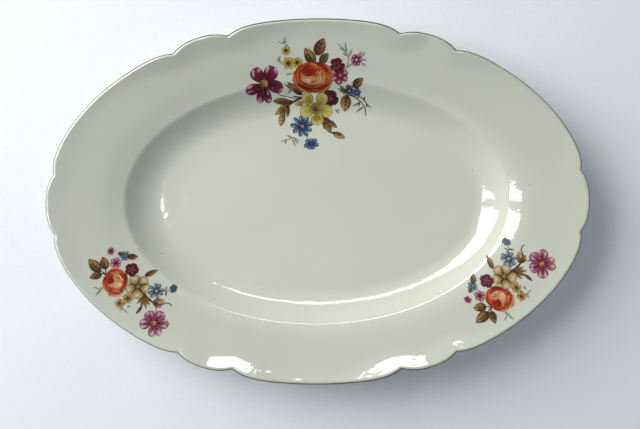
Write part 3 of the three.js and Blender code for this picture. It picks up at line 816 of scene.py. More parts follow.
def build_stroke_tree():
    tree, inputs, outputs = new_tree("lay_strokes_on_glaze", [
        ("Geometry", "NodeSocketGeometry"),
        ("Glaze", "NodeSocketObject"),
        ("Rise", "NodeSocketFloat"),
        ("Layer step", "NodeSocketFloat"),
        ("Finish", "NodeSocketMaterial"),
    ])
    box = add_node(tree, "GeometryNodeMeshCube", {"Vertices X": 15, "Vertices Y": 7, "Vertices Z": 2})
    copies = add_node(tree, "GeometryNodeInstanceOnPoints",
                      {"Points": inputs.outputs["Geometry"], "Instance": box.outputs["Mesh"]})
    real = add_node(tree, "GeometryNodeRealizeInstances", {"Geometry": copies.outputs[0]})
    corner = tree.nodes.new("GeometryNodeInputPosition").outputs[0]
    unit = add_node(tree, "ShaderNodeSeparateXYZ", {"Vector": corner})
    u = Field(tree, unit.outputs["X"]) + 0.5
    v = Field(tree, unit.outputs["Y"]) * 2.0
    top = Field(tree, unit.outputs["Z"]) + 0.5

    def number(name):
        node = add_node(tree, "GeometryNodeInputNamedAttribute", {"Name": name}, data_type="FLOAT")
        return Field(tree, node.outputs[0])

    start_x, start_y, end_x, end_y = (number(name) for name in ("start_x", "start_y", "end_x", "end_y"))
    along_x, along_y = end_x - start_x, end_y - start_y
    length = (along_x * along_x + along_y * along_y).math("SQRT")
    hump = u.math("POWER", number("belly"))
    hump = ((1.0 - hump) * hump * 4.0).math("MAXIMUM", 0.0).math("POWER", number("full"))
    ruffle = (u * RUFFLES + number("layer")).math("SINE") * number("wave") + 1.0
    sideways = v * (number("width") / 2.0 * hump * ruffle + 0.02)
    sideways = sideways + number("bow") * (u * (1.0 - u) * 4.0)
    far = 1.0 - v.math("ABSOLUTE")
    share = u - number("cleft") * far * u.math("POWER", 4.0)
    x = start_x + along_x * share - along_y / length * sideways
    y = start_y + along_y * share + along_x / length * sideways
    above = add_node(tree, "ShaderNodeCombineXYZ", {"X": x * MM, "Y": y * MM, "Z": 0.1})
    glaze = add_node(tree, "GeometryNodeObjectInfo", {"Object": inputs.outputs["Glaze"]})
    ray = add_node(tree, "GeometryNodeRaycast", {
        "Target Geometry": glaze.outputs["Geometry"],
        "Source Position": above.outputs[0],
        "Ray Direction": (0.0, 0.0, -1.0),
        "Ray Length": 1.0,
    })
    lift = number("layer") * Field(tree, inputs.outputs["Layer step"]) + Field(tree, inputs.outputs["Rise"])
    lift = (lift - SUNK) * top + SUNK
    raised = add_node(tree, "ShaderNodeVectorMath", {0: ray.outputs["Hit Normal"]}, operation="SCALE")
    tree.links.new((lift * MM).socket, raised.inputs["Scale"])
    places = {0: ray.outputs["Hit Position"], 1: raised.outputs[0]}
    position = add_node(tree, "ShaderNodeVectorMath", places, operation="ADD")
    marks = add_node(tree, "ShaderNodeCombineXYZ", {"X": u, "Y": v, "Z": number("layer")})
    marked = add_node(tree, "GeometryNodeStoreNamedAttribute",
                      {"Geometry": real.outputs[0], "Name": "stroke", "Value": marks.outputs[0]},
                      data_type="FLOAT_VECTOR", domain="POINT")
    laid = add_node(tree, "GeometryNodeSetPosition",
                    {"Geometry": marked.outputs[0], "Position": position.outputs[0]})
    smooth = add_node(tree, "GeometryNodeSetShadeSmooth", {"Geometry": laid.outputs[0]})
    turned = Field(tree, tree.nodes.new("GeometryNodeInputMeshEdgeAngle").outputs["Unsigned Angle"])
    sharp = add_node(tree, "GeometryNodeSetShadeSmooth", {
        "Geometry": smooth.outputs[0],
        "Selection": turned.math("GREATER_THAN", SHARP_EDGE),
        "Shade Smooth": False,
    }, domain="EDGE")
    fused = add_node(tree, "GeometryNodeRealizeInstances", {"Geometry": sharp.outputs[0]})
    fired = add_node(tree, "GeometryNodeSetMaterial",
                     {"Geometry": fused.outputs[0], "Material": inputs.outputs["Finish"]})
    tree.links.new(fired.outputs[0], outputs.inputs[0])
    return tree


stroke_tree = build_stroke_tree()
print("the stroke tree has", len(stroke_tree.nodes), "nodes")


# %% [markdown]
# ## Enamel colours
#
# Enamel on china is thin and a little uneven: colour pools along the edge of a stroke, streaks run
# along it, and the fired surface is glossy but softer than bare glaze. One material for each pair
# of colours would take dozens. Instead the material reads each stroke's own four colours, blends
# them along its length, darkens the edge and streaks the rest.

# %% One enamel for each colour family
def enamel(name, streaks, gloss):
    material, tree, shader, place = new_material(name)

    def colour(which):
        return add_node(tree, "ShaderNodeAttribute", attribute_name=which).outputs["Color"]

    stroke = add_node(tree, "ShaderNodeAttribute", attribute_name="stroke").outputs["Vector"]
    parts = add_node(tree, "ShaderNodeSeparateXYZ", {"Vector": stroke})
    u, v = Field(tree, parts.outputs["X"]), Field(tree, parts.outputs["Y"])
    seed = Field(tree, parts.outputs["Z"])
    blended = blend_colours(tree, step_up(u, 0.05, 0.5), colour("base"), colour("middle"))
    blended = blend_colours(tree, step_up(u, 0.5, 0.95), blended, colour("tip"))
    run = add_node(tree, "ShaderNodeCombineXYZ", {"X": u * 1.6, "Y": v * 3.2, "Z": seed * 3.7})
    streak = noise_of(tree, run.outputs[0], streaks, 3.0, 0.65)
    blended = blend_colours(tree, step_up(streak, 0.48, 0.72) * 0.5, blended, colour("ink"))
    blended = blend_colours(tree, step_up(streak, 0.5, 0.25) * 0.3, blended, colour("tip"))
    rim = v.math("ABSOLUTE").math("MAXIMUM", (u * 2.0 - 1.0).math("ABSOLUTE"))
    rim = step_up(rim + (streak - 0.5) * 0.25, 0.70, 1.0)
    blended = blend_colours(tree, rim * 0.75, blended, colour("ink"))
    grain = noise_of(tree, place.outputs["Object"], 2600.0, 2.0)
    blended = blend_colours(tree, step_up(grain, 0.5, 0.75) * 0.06, blended, "d4d0bc")
    tree.links.new(blended, shader.inputs["Base Color"])
    rough = gloss + noise_of(tree, place.outputs["Object"], 500.0, 2.0) * 0.1
    tree.links.new(rough.socket, shader.inputs["Roughness"])
    shader.inputs["IOR"].default_value = 1.5
    shader.inputs["Specular IOR Level"].default_value = 0.28
    return material


STREAKS_AND_GLOSS = {
    "coral": (2.4, 0.2),
    "plum": (2.6, 0.22),
    "rose": (2.6, 0.22),
    "wine": (2.2, 0.22),
    "lime": (1.8, 0.2),
    "straw": (1.8, 0.2),
    "yellow": (2.2, 0.2),
    "blue": (2.4, 0.24),
    "slate": (2.4, 0.24),
    "brown": (2.8, 0.26),
    "tan": (2.8, 0.26),
    "olive": (2.8, 0.26),
    "grey": (2.8, 0.28),
}
ENAMELS = {family: enamel("enamel_" + family, *finish) for family, finish in STREAKS_AND_GLOSS.items()}
print(len(ENAMELS), "enamels")


# %% Laying one motif
def lay(pad, name, family, spray):
    """Puts a pad of strokes on the platter, in place of one island of the plain model."""
    shape, origin = spray["shape"], spray["origin"]
    rows = []
    for layer, stroke in enumerate(pad.strokes):
        start, end = (shape @ Vector(stroke[key]) + origin for key in ("start", "end"))
        row = {"start_x": start.x, "start_y": start.y, "end_x": end.x, "end_y": end.y, "layer": layer}
        rows.append(row | {key: stroke[key] for key in ("width", "bow", "belly", "full", "wave", "cleft")})
    node = f"{spray['name']}_{name}"
    piece = points_with_numbers(node + "_paint", rows)
    for place, which in enumerate(("base", "middle", "tip", "ink")):
        attribute = piece.data.attributes.new(which, "FLOAT_COLOR", "POINT")
        colours = [colour_of(PAINTS[stroke["paint"]][place]) for stroke in pad.strokes]
        attribute.data.foreach_set("color", np.asarray(colours, dtype=np.float32).ravel())
    through_nodes(piece, stroke_tree, {
        "Glaze": body,
        "Rise": ENAMEL_RISE,
        "Layer step": LAYER_STEP,
        "Finish": ENAMELS[family],
    })
    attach(piece, "root")
    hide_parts(node)
    "enamel_" + family


# %% [markdown]
# ## Painting the flowers
#
# The head spray is the largest: a full-blown rose in the middle, with a plum cosmos on its left, a
# lime bloom below, and small flowers, leaves and grey sprigs filling the gaps. They could be
# scattered by rule, but a bouquet is composed, so its flowers have chosen places, and rules only
# draw what is inside each. Each motif below is drawn on its own pad with its own seed, so that it
# can be changed alone.


# %% A full-blown rose
def hand_on(pad, x, y, half_width, half_height):
    """Two helpers for a flower drawn in its own measure: `at` finds a place, `touch` lays a stroke."""
    size = math.sqrt(half_width * half_height)

    def at(across, up):
        return Vector((x + across * half_width, y + up * half_height))

    def touch(start, end, bow, width, paint, full=0.5, **more):
        pad.stroke(at(*start), at(*end), width * size, paint, bow=bow * size, full=full, **more)

    return at, touch


def on_ring(angle, out):
    return out * math.cos(angle), out * math.sin(angle)


def full_rose(pad, x, y, half_width, half_height):
    """A cupped rose, wider than it is high, with its dark heart towards the top."""
    at, touch = hand_on(pad, x, y, half_width, half_height)
    for petal in range(9):
        angle = math.radians(40 * petal + 12 + pad.chance.uniform(-6, 6))
        out = pad.chance.uniform(0.93, 1.0)
        touch(on_ring(angle, 0.3), on_ring(angle, out), 0, 0.74, "coral", belly=0.66, full=0.45, wave=0.03)
    for petal in range(11):
        angle = math.radians(-205 + 23 * petal)
        touch(on_ring(angle, 0.97), on_ring(angle + 0.42, 0.97), -0.05, 0.075, "peach")
    for row in (
        ((-0.96, -0.12), (-0.1, -0.84), -0.2, 0.34, "coral"),
        ((0.0, -0.86), (0.92, -0.22), -0.2, 0.34, "coral"),
        ((-0.98, -0.02), (-0.3, -0.92), -0.2, 0.09, "peach"),
        ((0.1, -0.96), (0.98, -0.2), -0.2, 0.09, "peach"),
        ((-0.5, -0.72), (0.5, -0.76), -0.1, 0.2, "ember"),
        ((-1.0, -0.25), (0.98, -0.3), -0.42, 0.13, "crease"),
        ((-0.82, 0.25), (-0.72, -0.5), -0.12, 0.3, "coral"),
        ((-0.86, 0.3), (-0.8, -0.4), -0.12, 0.08, "peach"),
        ((0.1, 0.92), (0.8, -0.36), 0.3, 0.4, "coral"),
        ((0.3, 0.88), (0.9, -0.2), 0.22, 0.07, "peach"),
        ((0.0, 0.96), (0.86, 0.0), 0.22, 0.1, "crimson"),
        ((-0.9, 0.1), (-0.2, 0.9), 0.2, 0.1, "ember"),
        ((-0.84, -0.34), (0.1, -0.78), -0.14, 0.08, "crimson"),
    ):
        touch(*row)
    pad.disc(*at(-0.06, -0.08), 0.72 * half_width, 0.56 * half_height, "peach")
    for row in (
        ((0.08, 0.86), (0.58, -0.46), 0.34, 0.16, "ember"),
        ((0.16, 0.7), (0.5, -0.34), 0.26, 0.1, "peach"),
        ((0.12, 0.66), (0.42, -0.3), 0.2, 0.12, "coral"),
        ((0.3, 0.62), (0.66, -0.34), 0.2, 0.05, "crease"),
        ((-0.5, 0.76), (-0.68, -0.3), -0.18, 0.15, "coral"),
        ((-0.56, 0.66), (-0.6, -0.4), -0.1, 0.05, "crease"),
        ((-0.6, -0.3), (0.5, -0.4), -0.2, 0.12, "coral"),
        ((-0.5, -0.34), (0.4, -0.42), -0.14, 0.05, "crease"),
        ((-0.56, -0.02), (-0.1, -0.32), 0.05, 0.42, "cream"),
        ((-0.05, -0.28), (0.42, 0.06), -0.05, 0.44, "cream"),
        ((-0.1, -0.34), (0.36, -0.1), 0, 0.14, "peach"),
    ):
        touch(*row)
    pad.disc(*at(-0.16, 0.46), 0.4 * half_width, 0.42 * half_height, "coral")
    pad.disc(*at(-0.15, 0.42), 0.33 * half_width, 0.33 * half_height, "ember")
    pad.disc(*at(-0.1, 0.34), 0.24 * half_width, 0.22 * half_height, "crimson", -15)
    for line in range(7):
        lean = pad.chance.uniform(-0.3, 0.3)
        start = (-0.14 + lean, 0.3 + pad.chance.uniform(0, 0.2))
        touch(start, (start[0] + 0.16, start[1] + 0.18), 0.04, 0.05, "ember", full=0.4)
    for row in (
        ((-0.6, 0.3), (0.02, 0.06), -0.14, 0.17, "peach"),
        ((-0.58, 0.32), (0.0, 0.12), -0.12, 0.05, "crease"),
        ((-0.04, 0.04), (0.4, 0.42), -0.12, 0.17, "peach"),
        ((-0.04, 0.1), (0.34, 0.44), -0.1, 0.05, "crease"),
        ((-0.12, 0.84), (0.22, 0.6), 0.08, 0.1, "peach"),
    ):
        touch(*row)
    for line in range(9):
        lean = 0.07 * line
        touch((0.02 + lean, 0.14 + 0.3 * lean), (0.1 + lean, -0.3 + 0.4 * lean), 0.03, 0.04,
              "coral" if line % 2 else "peach", full=0.4)
    for line in range(30):
        angle = pad.chance.uniform(0, 2 * math.pi)
        out = pad.chance.uniform(0.66, 0.9)
        turn = pad.chance.uniform(0.2, 0.4)
        paint = str(pad.chance.choice(["crease", "ember", "peach"]))
        touch(on_ring(angle, out), on_ring(angle + turn, out), -0.03, 0.03, paint, full=0.4)


# %% A smaller rose, a cosmos and two blooms
def side_rose(pad, x, y):
    """A rose seen a little from its side: a dark heart, a pale cup and a red ring round both."""
    touch = hand_on(pad, x, y, 1, 1)[1]
    for petal in range(8):
        place = pad.around(x, y - 0.4, 45 * petal + 20, pad.chance.uniform(4.0, 4.6))
        place.y = y - 0.4 + (place.y - y + 0.4) * 1.3
        pad.disc(*place, 4.2, 3.6, "cream", 45 * petal + 20)
    pad.disc(x + 0.1, y + 0.3, 9.0, 7.2, "coral", 90)
    for row in (
        ((-6.4, 4.4), (-4.4, -6.2), -2.0, 2.2, "ember"),
        ((-7.1, 3.6), (-5.4, -5.4), -1.0, 0.6, "crease"),
        ((-6.0, 5.2), (5.4, 6.2), 2.6, 2.0, "ember"),
        ((5.0, 6.4), (5.6, -4.8), 1.6, 2.8, "crimson"),
        ((5.6, -4.2), (-4.4, -6.0), 2.7, 2.2, "ember"),
        ((-3.2, 8.6), (3.6, 8.4), 0.6, 0.8, "peach"),
        ((-7.4, 1.0), (-5.0, -7.0), -1.0, 0.9, "peach"),
        ((7.2, 4.4), (6.6, -4.6), 0.8, 0.9, "peach"),
        ((-5.2, -7.4), (4.0, -8.6), -0.9, 1.6, "peach"),
        ((-3.4, -8.4), (4.8, -7.6), -1.2, 0.9, "cream"),
    ):
        touch(*row)
    pad.disc(x + 0.2, y + 0.3, 6.5, 5.0, "peach", 90)
    pad.disc(x + 3.6, y + 4.6, 2.9, 1.8, "ember", 70)
    pad.disc(x - 3.1, y + 2.4, 3.7, 2.8, "ember", 80)
    pad.disc(x - 2.8, y + 2.2, 2.6, 1.9, "crimson", 70)
    for row in (
        ((-4.6, 4.4), (-3.4, 0.8), -0.5, 0.5, "ember"),
        ((-2.4, 4.6), (-1.8, 1.6), 0.4, 0.5, "ember"),
        ((-0.9, 6.2), (0.4, 0.6), -0.5, 1.5, "peach"),
        ((0.5, 5.8), (4.6, 0.6), 0.5, 1.4, "cream"),
        ((0.0, 5.6), (1.2, 1.4), 0.2, 0.5, "ember"),
        ((2.2, 5.4), (4.8, 1.8), 0.4, 0.5, "crease"),
        ((-1.0, 1.6), (0.6, 0.2), 0.0, 0.6, "peach"),
    ):
        touch(*row)
    pad.disc(x + 0.9, y - 1.9, 3.4, 2.3, "cream")
    for row in (
        ((-5.6, -1.2), (-1.6, -1.6), -0.8, 1.3, "peach"),
        ((-5.0, -2.6), (4.4, -2.4), -2.4, 1.3, "coral"),
        ((-4.6, -3.8), (4.4, -4.0), -2.0, 0.6, "crease"),
        ((-3.0, -5.0), (2.6, -5.2), -0.8, 0.9, "peach"),
        ((6.6, 5.0), (6.8, -2.4), 0.5, 0.6, "crease"),
    ):
        touch(*row)
    for line in range(20):
        direction = pad.chance.uniform(0, 360)
        near, far = pad.chance.uniform(6.0, 7.2), pad.chance.uniform(6.0, 7.2)
        paint = str(pad.chance.choice(["crease", "peach", "crimson"]))
        pad.ray(x, y, (direction, near), (direction + 22, far), 0.3, paint, bow=-0.3, full=0.4)


def cosmos(pad, x, y, petals, patches, paints):
    """Petals by direction, length, width and fullness, then light patches, then the heart."""
    petal_paint, patch_paint, fold_paint, heart, heart_size = paints
    for direction, length, width, full in petals:
        pad.ray(x, y, (direction, 0.06 * length), (direction, length), width, petal_paint,
                belly=0.62, full=full, cleft=0.06)
    for across, up, direction, length, width in patches:
        reach = pad.around(0, 0, direction, length / 2)
        middle = Vector((x + across, y + up))
        pad.stroke(middle - reach, middle + reach, width, patch_paint, full=0.6, belly=0.6)
    for direction, length, width, full in petals:
        for fold in (-1, 0.1, 1):
            lean = fold * 13 * width / length + pad.chance.uniform(-3, 3)
            far = pad.chance.uniform(0.5, 0.86) * length
            pad.ray(x, y, (direction, 0.1 * length), (direction + lean, far), width * 0.13, fold_paint,
                    full=0.6, belly=0.32, bow=-0.05 * fold * width)
    pad.disc(x, y, heart_size, 0.94 * heart_size, heart)
    pad.disc(x - 0.3 * heart_size, y - 0.4 * heart_size, 0.55 * heart_size, 0.4 * heart_size, "brown")
    for dot in range(13):
        place = pad.around(x, y, 360 * dot / 13, pad.chance.uniform(0.9, 1.35) * heart_size)
        pad.disc(*place, 0.28, 0.24, "umber" if dot % 3 else heart)


def cupped_bloom(pad, x, y, petals, paint, shade, light, heart):
    """Cupped petals, each given by its middle and its two half sizes, round a dark heart."""
    pad.disc(x, y, 4.4, 4.0, shade)
    for petal_x, petal_y, half_width, half_height in petals:
        outward = math.degrees(math.atan2(petal_y - y, petal_x - x))
        for scale, shift, layer in (
            (1.0, 0.0, paint),
            (0.86, 0.02, light),
            (0.72, -0.04, paint),
            (0.52, -0.2, shade),
        ):
            middle = pad.around(petal_x, petal_y, outward, shift * half_width)
            pad.disc(*middle, scale * half_width, scale * half_height, layer, outward)
        for vein in (-30, -10, 10, 30):
            pad.ray(x, y, (outward + vein * 0.4, 2.4), (outward + vein * 0.7, 6.0), 0.35, shade, full=0.4)
    for line in range(14):
        direction, far = 360 * line / 14 + pad.chance.uniform(-8, 8), pad.chance.uniform(2.4, 4.2)
        dark = ("rust", "brown", "lime_shade")[line % 3]
        pad.stroke((x, y), pad.around(x, y, direction, far), 0.6, dark, full=0.6, belly=0.3)
    pad.disc(x, y, 2.1, 1.9, heart)
    pad.disc(x + 0.2, y - 0.6, 1.0, 0.8, "umber")


def open_bloom(pad, x, y, petals, paint, light, heart):
    """Flat petals by direction, length and width, parted by dark lines that meet in a star."""
    for direction, length, width in petals:
        pad.ray(x, y, (direction, 0.4), (direction, length), width, paint,
                belly=0.64, full=0.42, cleft=0.05)
        for fold in (-0.8, -0.3, 0.3, 0.8):
            lean = fold * 15 * width / length
            far = pad.chance.uniform(0.8, 0.92) * length
            pad.ray(x, y, (direction + 0.7 * lean, 0.44 * length), (direction + lean, far), width * 0.13,
                    light, full=0.6)
        pad.ray(x, y, (direction, 0.5), (direction, 0.6 * length), 0.4, "brown", full=0.6, belly=0.3)
    turns = sorted(direction % 360 for direction, length, width in petals)
    for here, following in zip(turns, turns[1:] + [turns[0] + 360]):
        far = pad.around(x, y, (here + following) / 2, pad.chance.uniform(5.4, 6.6))
        pad.stroke((x, y), far, 1.1, "umber", full=0.7, belly=0.25)
    pad.disc(x, y, 1.7, 1.5, "brown")
    pad.disc(x, y, 1.0, 0.9, heart)


# %% Motifs of the head spray
def motif(name, family, draw, *settings, **more):
    """The island that a motif stands for, its enamel, and what draws it on a pad."""
    return name, family, lambda pad: draw(pad, *settings, **more)


def head_leaf_spray_west(pad):
    pad.along([(-2.6, -0.6), (-6, -2.2), (-9.6, -4), (-12.6, -6), (-15.4, -8.2)], 1.5, "umber")
    pad.leaf((-8, -3.6), (-22.8, -2.9), 4.4, "brown", light="tan", belly=0.6)
    pad.leaf((-12, -5.4), (-21.6, -12), 4.8, "tan", light="sand")
    pad.leaf((-15.4, -8), (-18, -20), 4.6, "tan", light="sand", belly=0.6)
    pad.leaf((-12.6, -5.6), (-13.2, -13.8), 3.0, "brown", light="tan")
    pad.leaf((-2, -4.4), (-8, -5.2), 3.6, "sand", dark="tan", veins=2)
    pad.stroke((-3, -0.4), (-9.4, 0.4), 0.9, "umber", bow=0.5)


def head_leaf_spray_east(pad):
    pad.along([(9.4, -11), (11.4, -14), (13.6, -19), (15.8, -23.6), (18.4, -25.6)], 1.1, "umber")
    pad.leaf((11.8, -13.6), (16.2, -25), 6.0, "brown", light="tan", wave=0.12)
    pad.leaf((13.6, -16), (20.8, -21.4), 3.6, "brown", light="tan", wave=0.12)
    pad.leaf((12, -17), (11.6, -22), 2.2, "brown", veins=2)
    pad.leaf((17, -24.4), (26, -28.4), 4.2, "tan", light="sand", belly=0.5)


def head_leaf_west(pad):
    pad.leaf((-2.6, 0.8), (-12.4, 8.8), 4.4, "brown", light="tan")
    pad.leaf((-5, 3), (-14, 7.2), 2.4, "tan", veins=2)
    pad.along([(-19.6, 2.6), (-17.6, 0.8), (-13, -0.2), (-6, -1.8)], 0.55, "umber")
    pad.stroke((-9.4, 6.6), (-12.6, 1.6), 1.6, "grey", bow=0.5)


def head_twig(pad):
    pad.along([(28.6, 0.4), (31.6, -0.6), (34.4, -2.4), (37, -4.4), (39.4, -7.6)], 0.75, "umber")
    pad.along([(39.4, -7.6), (40, -10.4), (40.2, -13.4)], 0.7, "umber")
    pad.along([(36.6, -1), (38.4, -2.6), (41, -5.6), (43.6, -8.4)], 0.8, "olive")
    for start, end in (((39, -3), (39.4, -0.6)), ((36.6, -4.4), (31, -7)), ((39.2, -7), (33.2, -11)),
                       ((36, -3.4), (35.4, -7.6)), ((40.2, -5), (41.2, -8)), ((34, -2), (36.2, -0.4))):
        pad.stroke(start, end, 1.0, "olive", full=0.8)


def head_blue_buds(pad):
    pad.floret(29.2, 3, 3.9, 6, "blue", "sky", "white", heart_size=0.16, plump=4.2)
    pad.floret(34.2, 1.8, 2.9, 5, "blue", "sky", "white", 20, heart_size=0.16)
    pad.stroke((32.4, 4.8), (35.8, 4.4), 1.2, "blue")
    for tip in ((22, 6.8), (21, 4.6), (22.6, 2.6), (24.6, 1), (27.4, 6.4)):
        pad.stroke((27.2, 2.6), tip, 1.3, "olive", full=0.8)


def head_blue_floret(pad):
    pad.along([(0, -26.4), (0.6, -28.6), (2, -31)], 0.5, "olive")
    pad.floret(2.8, -32, 5.2, 7, "blue", "sky", "blue", 40, 0.75, plump=4.2)


def head_yellow_pair(pad):
    pad.floret(-11.2, 20.8, 4.4, 6, "yellow", "lemon", "umber", heart_size=0.26)
    pad.floret(-5.4, 21.2, 3.9, 6, "yellow", "lemon", "umber", 25, heart_size=0.26)


HEAD_MOTIFS = [
    motif("rose", "coral", full_rose, 5, 12, 13.6, 9.8),
    motif("cosmos", "plum", cosmos, -28, 8,
          [(206, 13.6, 6.8, 0.72), (126, 11.8, 8.6, 0.45), (54, 13, 9.4, 0.45), (-13, 13, 8, 0.5),
           (-108, 12.9, 5.6, 0.5), (-78, 12.8, 5.6, 0.5)],
          [(-6.6, 6, 95, 6, 1.9), (-3, 8.2, 60, 3, 2.2), (2.6, 8.8, 70, 5, 2.6), (8.4, 7.8, 105, 5.6, 1.8),
           (5.6, -2.2, 90, 3.4, 1.3), (10.8, -4.2, 35, 4, 1.1), (2.2, -5.6, -80, 3.4, 1.5),
           (2.6, -10.8, 40, 3.4, 1.7), (-3.4, -10, -100, 5, 2.6), (-8.8, -2, 210, 5.4, 2),
           (-9, -5, 196, 5, 0.9)],
          ("plum", "mauve", "wine", "tan", 2.9)),
    motif("lime_bloom", "lime", cupped_bloom, 6.4, -8.2,
          [(0.8, -1.6, 4.2, 3.8), (10.4, -2, 4.3, 4), (-0.2, -10, 4.6, 4.4), (13.4, -10, 4.3, 4.4),
           (7, -15.8, 3.9, 4.4)],
          "lime", "lime_shade", "lime_light", "rust"),
    motif("blue_daisy", "blue", Pad.floret, -3.2, -20, 8.3, 9, "blue", "sky", "copper", 12, 0.93,
          heart_size=0.15, plump=3.5),
    motif("wine_flower_upper", "wine", Pad.floret, 20.8, 19, 5.5, 5, "wine", "garnet", "wine", 64, 0.9,
          plump=4.3, lit=(0.12, 0.46)),
    motif("pink_flower", "rose", Pad.floret, 22.8, 12.8, 6, 6, "magenta", "mauve", "copper", 20, plump=4.6),
    motif("wine_flower_lower", "wine", Pad.floret, 16, -1.4, 5.8, 5, "wine", "garnet", "garnet", 50,
          plump=4.6, lit=(0.1, 0.4)),
    motif("magenta_flower", "rose", Pad.floret, 33.8, 22.4, 4, 6, "magenta", "mauve", "white", plump=4.6),
    motif("blue_floret", "blue", head_blue_floret),
    motif("blue_buds", "blue", head_blue_buds),
    motif("yellow_floret", "yellow", Pad.floret, -12.6, 28.8, 3.3, 6, "yellow", "lemon", "umber",
          heart_size=0.3),
    motif("yellow_pair", "yellow", head_yellow_pair),
    motif("leaf_left_of_crown", "brown", Pad.leaf, (6, 20), (-0.2, 30.6), 7, "brown", light="tan"),
    motif("leaf_crown", "brown", Pad.leaf, (7.2, 25.6), (12.8, 36.6), 7.6, "brown", light="rust"),
    motif("leaf_right_of_crown", "olive", Pad.leaf, (9.6, 20.6), (15.4, 27), 5.4, "olive"),
    motif("leaf_far_right", "olive", Pad.leaf, (31.4, 5.4), (38.4, 10.8), 5.6, "olive", light="tan"),
    motif("leaf_ochre", "tan", Pad.leaf, (27.2, 0.6), (25.8, -10.6), 7.4, "tan", light="sand"),
    motif("leaf_west", "olive", head_leaf_west),
    motif("leaf_spray_west", "tan", head_leaf_spray_west),
    motif("leaf_spray_east", "brown", head_leaf_spray_east),
    motif("twig", "olive", head_twig),
    motif("sprig_northwest", "grey", Pad.sprig, [(-12, 34.6), (-14.2, 33.2), (-17.4, 34.6)], 0.8,
          [((-14.4, 32.8), (-12.8, 37.6)), ((-13, 33), (-11, 31)), ((-18.6, 22), (-16.4, 25.4)),
           ((-17.8, 24), (-16, 20.4)), ((-12.8, 13.4), (-9, 14.6))]),
    motif("sprig_northeast", "grey", Pad.sprig,
          [(26.4, 15.6), (27.8, 19.4), (28.8, 23), (27.8, 26), (25.4, 29.6), (20.8, 33.2)], 0.8,
          [((28.4, 24.2), (31.2, 29.4)), ((27.4, 27), (26.4, 33.8)), ((28, 25), (24.6, 27)),
           ((27, 28), (22.6, 30)), ((27.2, 17.4), (31.6, 20.6)), ((37, 24), (39.6, 27.4)),
           ((37.6, 22.6), (40.6, 22)), ((37, 20.6), (40, 18.2)), ((36, 25), (37, 28))]),
    motif("sprig_south", "grey", Pad.sprig, [(-17.6, -30.2), (-13, -28.8), (-9, -27.4), (-5, -30)], 0.8,
          [((-10, -27.6), (-8, -34)), ((-10, -27.8), (-13.8, -26)), ((-8.6, -28), (-6, -32)),
           ((-14, -29), (-15, -32)), ((19.4, -8.6), (21.8, -12)), ((20.6, -9), (22.6, -9.8))]),
]


# %% Motifs of the two side sprays
def side_leaves(pad):
    for place in ((-10.4, 7.8), (-6.4, 9.4), (-9.6, 5.6)):
        pad.along([(-6, 5), ((place[0] - 6) / 2, (place[1] + 6) / 2), place], 0.8, "umber")
    pad.leaf((-9.6, 7), (-17.4, 15.8), 6.8, "brown", light="tan", wave=0.1)
    pad.leaf((-6.2, 8.6), (-8.2, 17.2), 6, "brown", light="tan", wave=0.1)
    pad.leaf((-8.6, 5.8), (-16.8, 3.2), 5, "olive", light="brown", wave=0.1)


def side_slate_floret(pad):
    pad.floret(6, 17.2, 3.4, 6, "slate", "mist", "mist")
    pad.leaf((7.6, 16.8), (14.6, 16.4), 4, "brown", veins=2)
    pad.leaf((4.6, 18), (1.4, 19.8), 2.8, "olive", veins=2)
    pad.floret(-3, 20.6, 2.6, 5, "magenta", "mauve", "wine")


def side_leaf_fan(pad):
    pad.along([(18.6, -7.6), (20.8, -10.4), (24, -13.4), (27.6, -15.2)], 1.5, "umber")
    for tip in ((14.6, -14.6), (16.8, -18.8), (20.4, -18), (22.6, -15.8)):
        pad.stroke((19.2, -8.6), tip, 2.2, "brown", full=0.8)
        pad.stroke((19, -9.6), Vector(tip) + Vector((0.4, 0.6)), 0.7, "tan", full=0.7)
        pad.stroke((19.4, -8.8), Vector(tip) - Vector((0.5, 0)), 0.4, "umber", full=0.6)
    pad.leaf((24.6, -14.4), (32.6, -12.8), 4.6, "tan", light="sand", dark="brown")
    pad.leaf((25, -14.6), (30.6, -17.2), 3, "brown", light="tan", veins=2)
    pad.along([(30, -15.8), (33.4, -14.4), (36, -15), (37.4, -16.8)], 0.9, "brown")
    pad.leaf((17.6, -16.6), (13.8, -21.4), 2, "olive", veins=1)
    pad.along([(26.6, -15.8), (27.2, -18), (26.8, -20.6)], 0.6, "umber")
    pad.sprig([(-13.4, -3), (-11, -4), (-9, -5.4)], 0.8,
              [((-9.4, -5), (-12.6, -8.4)), ((-10, -4.6), (-7.6, -3))])
    pad.sprig([(4.4, -16), (5.4, -18), (8.4, -20.2)], 0.8,
              [((5, -17), (2.8, -18.6)), ((8, -17), (10, -15.4))])


def side_ochre_florets(pad):
    for tip in ((5.4, -15.6), (10.6, -14), (12, -9.4), (5, -9.2)):
        pad.stroke((7.6, -11.6), tip, 1.3, "olive", full=0.8)
    pad.floret(8.4, -11, 3.7, 5, "tan", "sand", "umber")
    pad.floret(3, -14, 3.3, 5, "tan", "sand", "umber", 30)


def side_blue_bud(pad):
    pad.along([(31.4, -6), (33.6, -6.6), (36, -6)], 0.6, "olive")
    pad.stroke((33.4, -6.4), (33.2, -10), 1.2, "olive")
    pad.stroke((32.6, -6), (34, -3.8), 0.9, "olive")
    pad.floret(38, -5.2, 3, 5, "slate", "slate", "olive", 20)


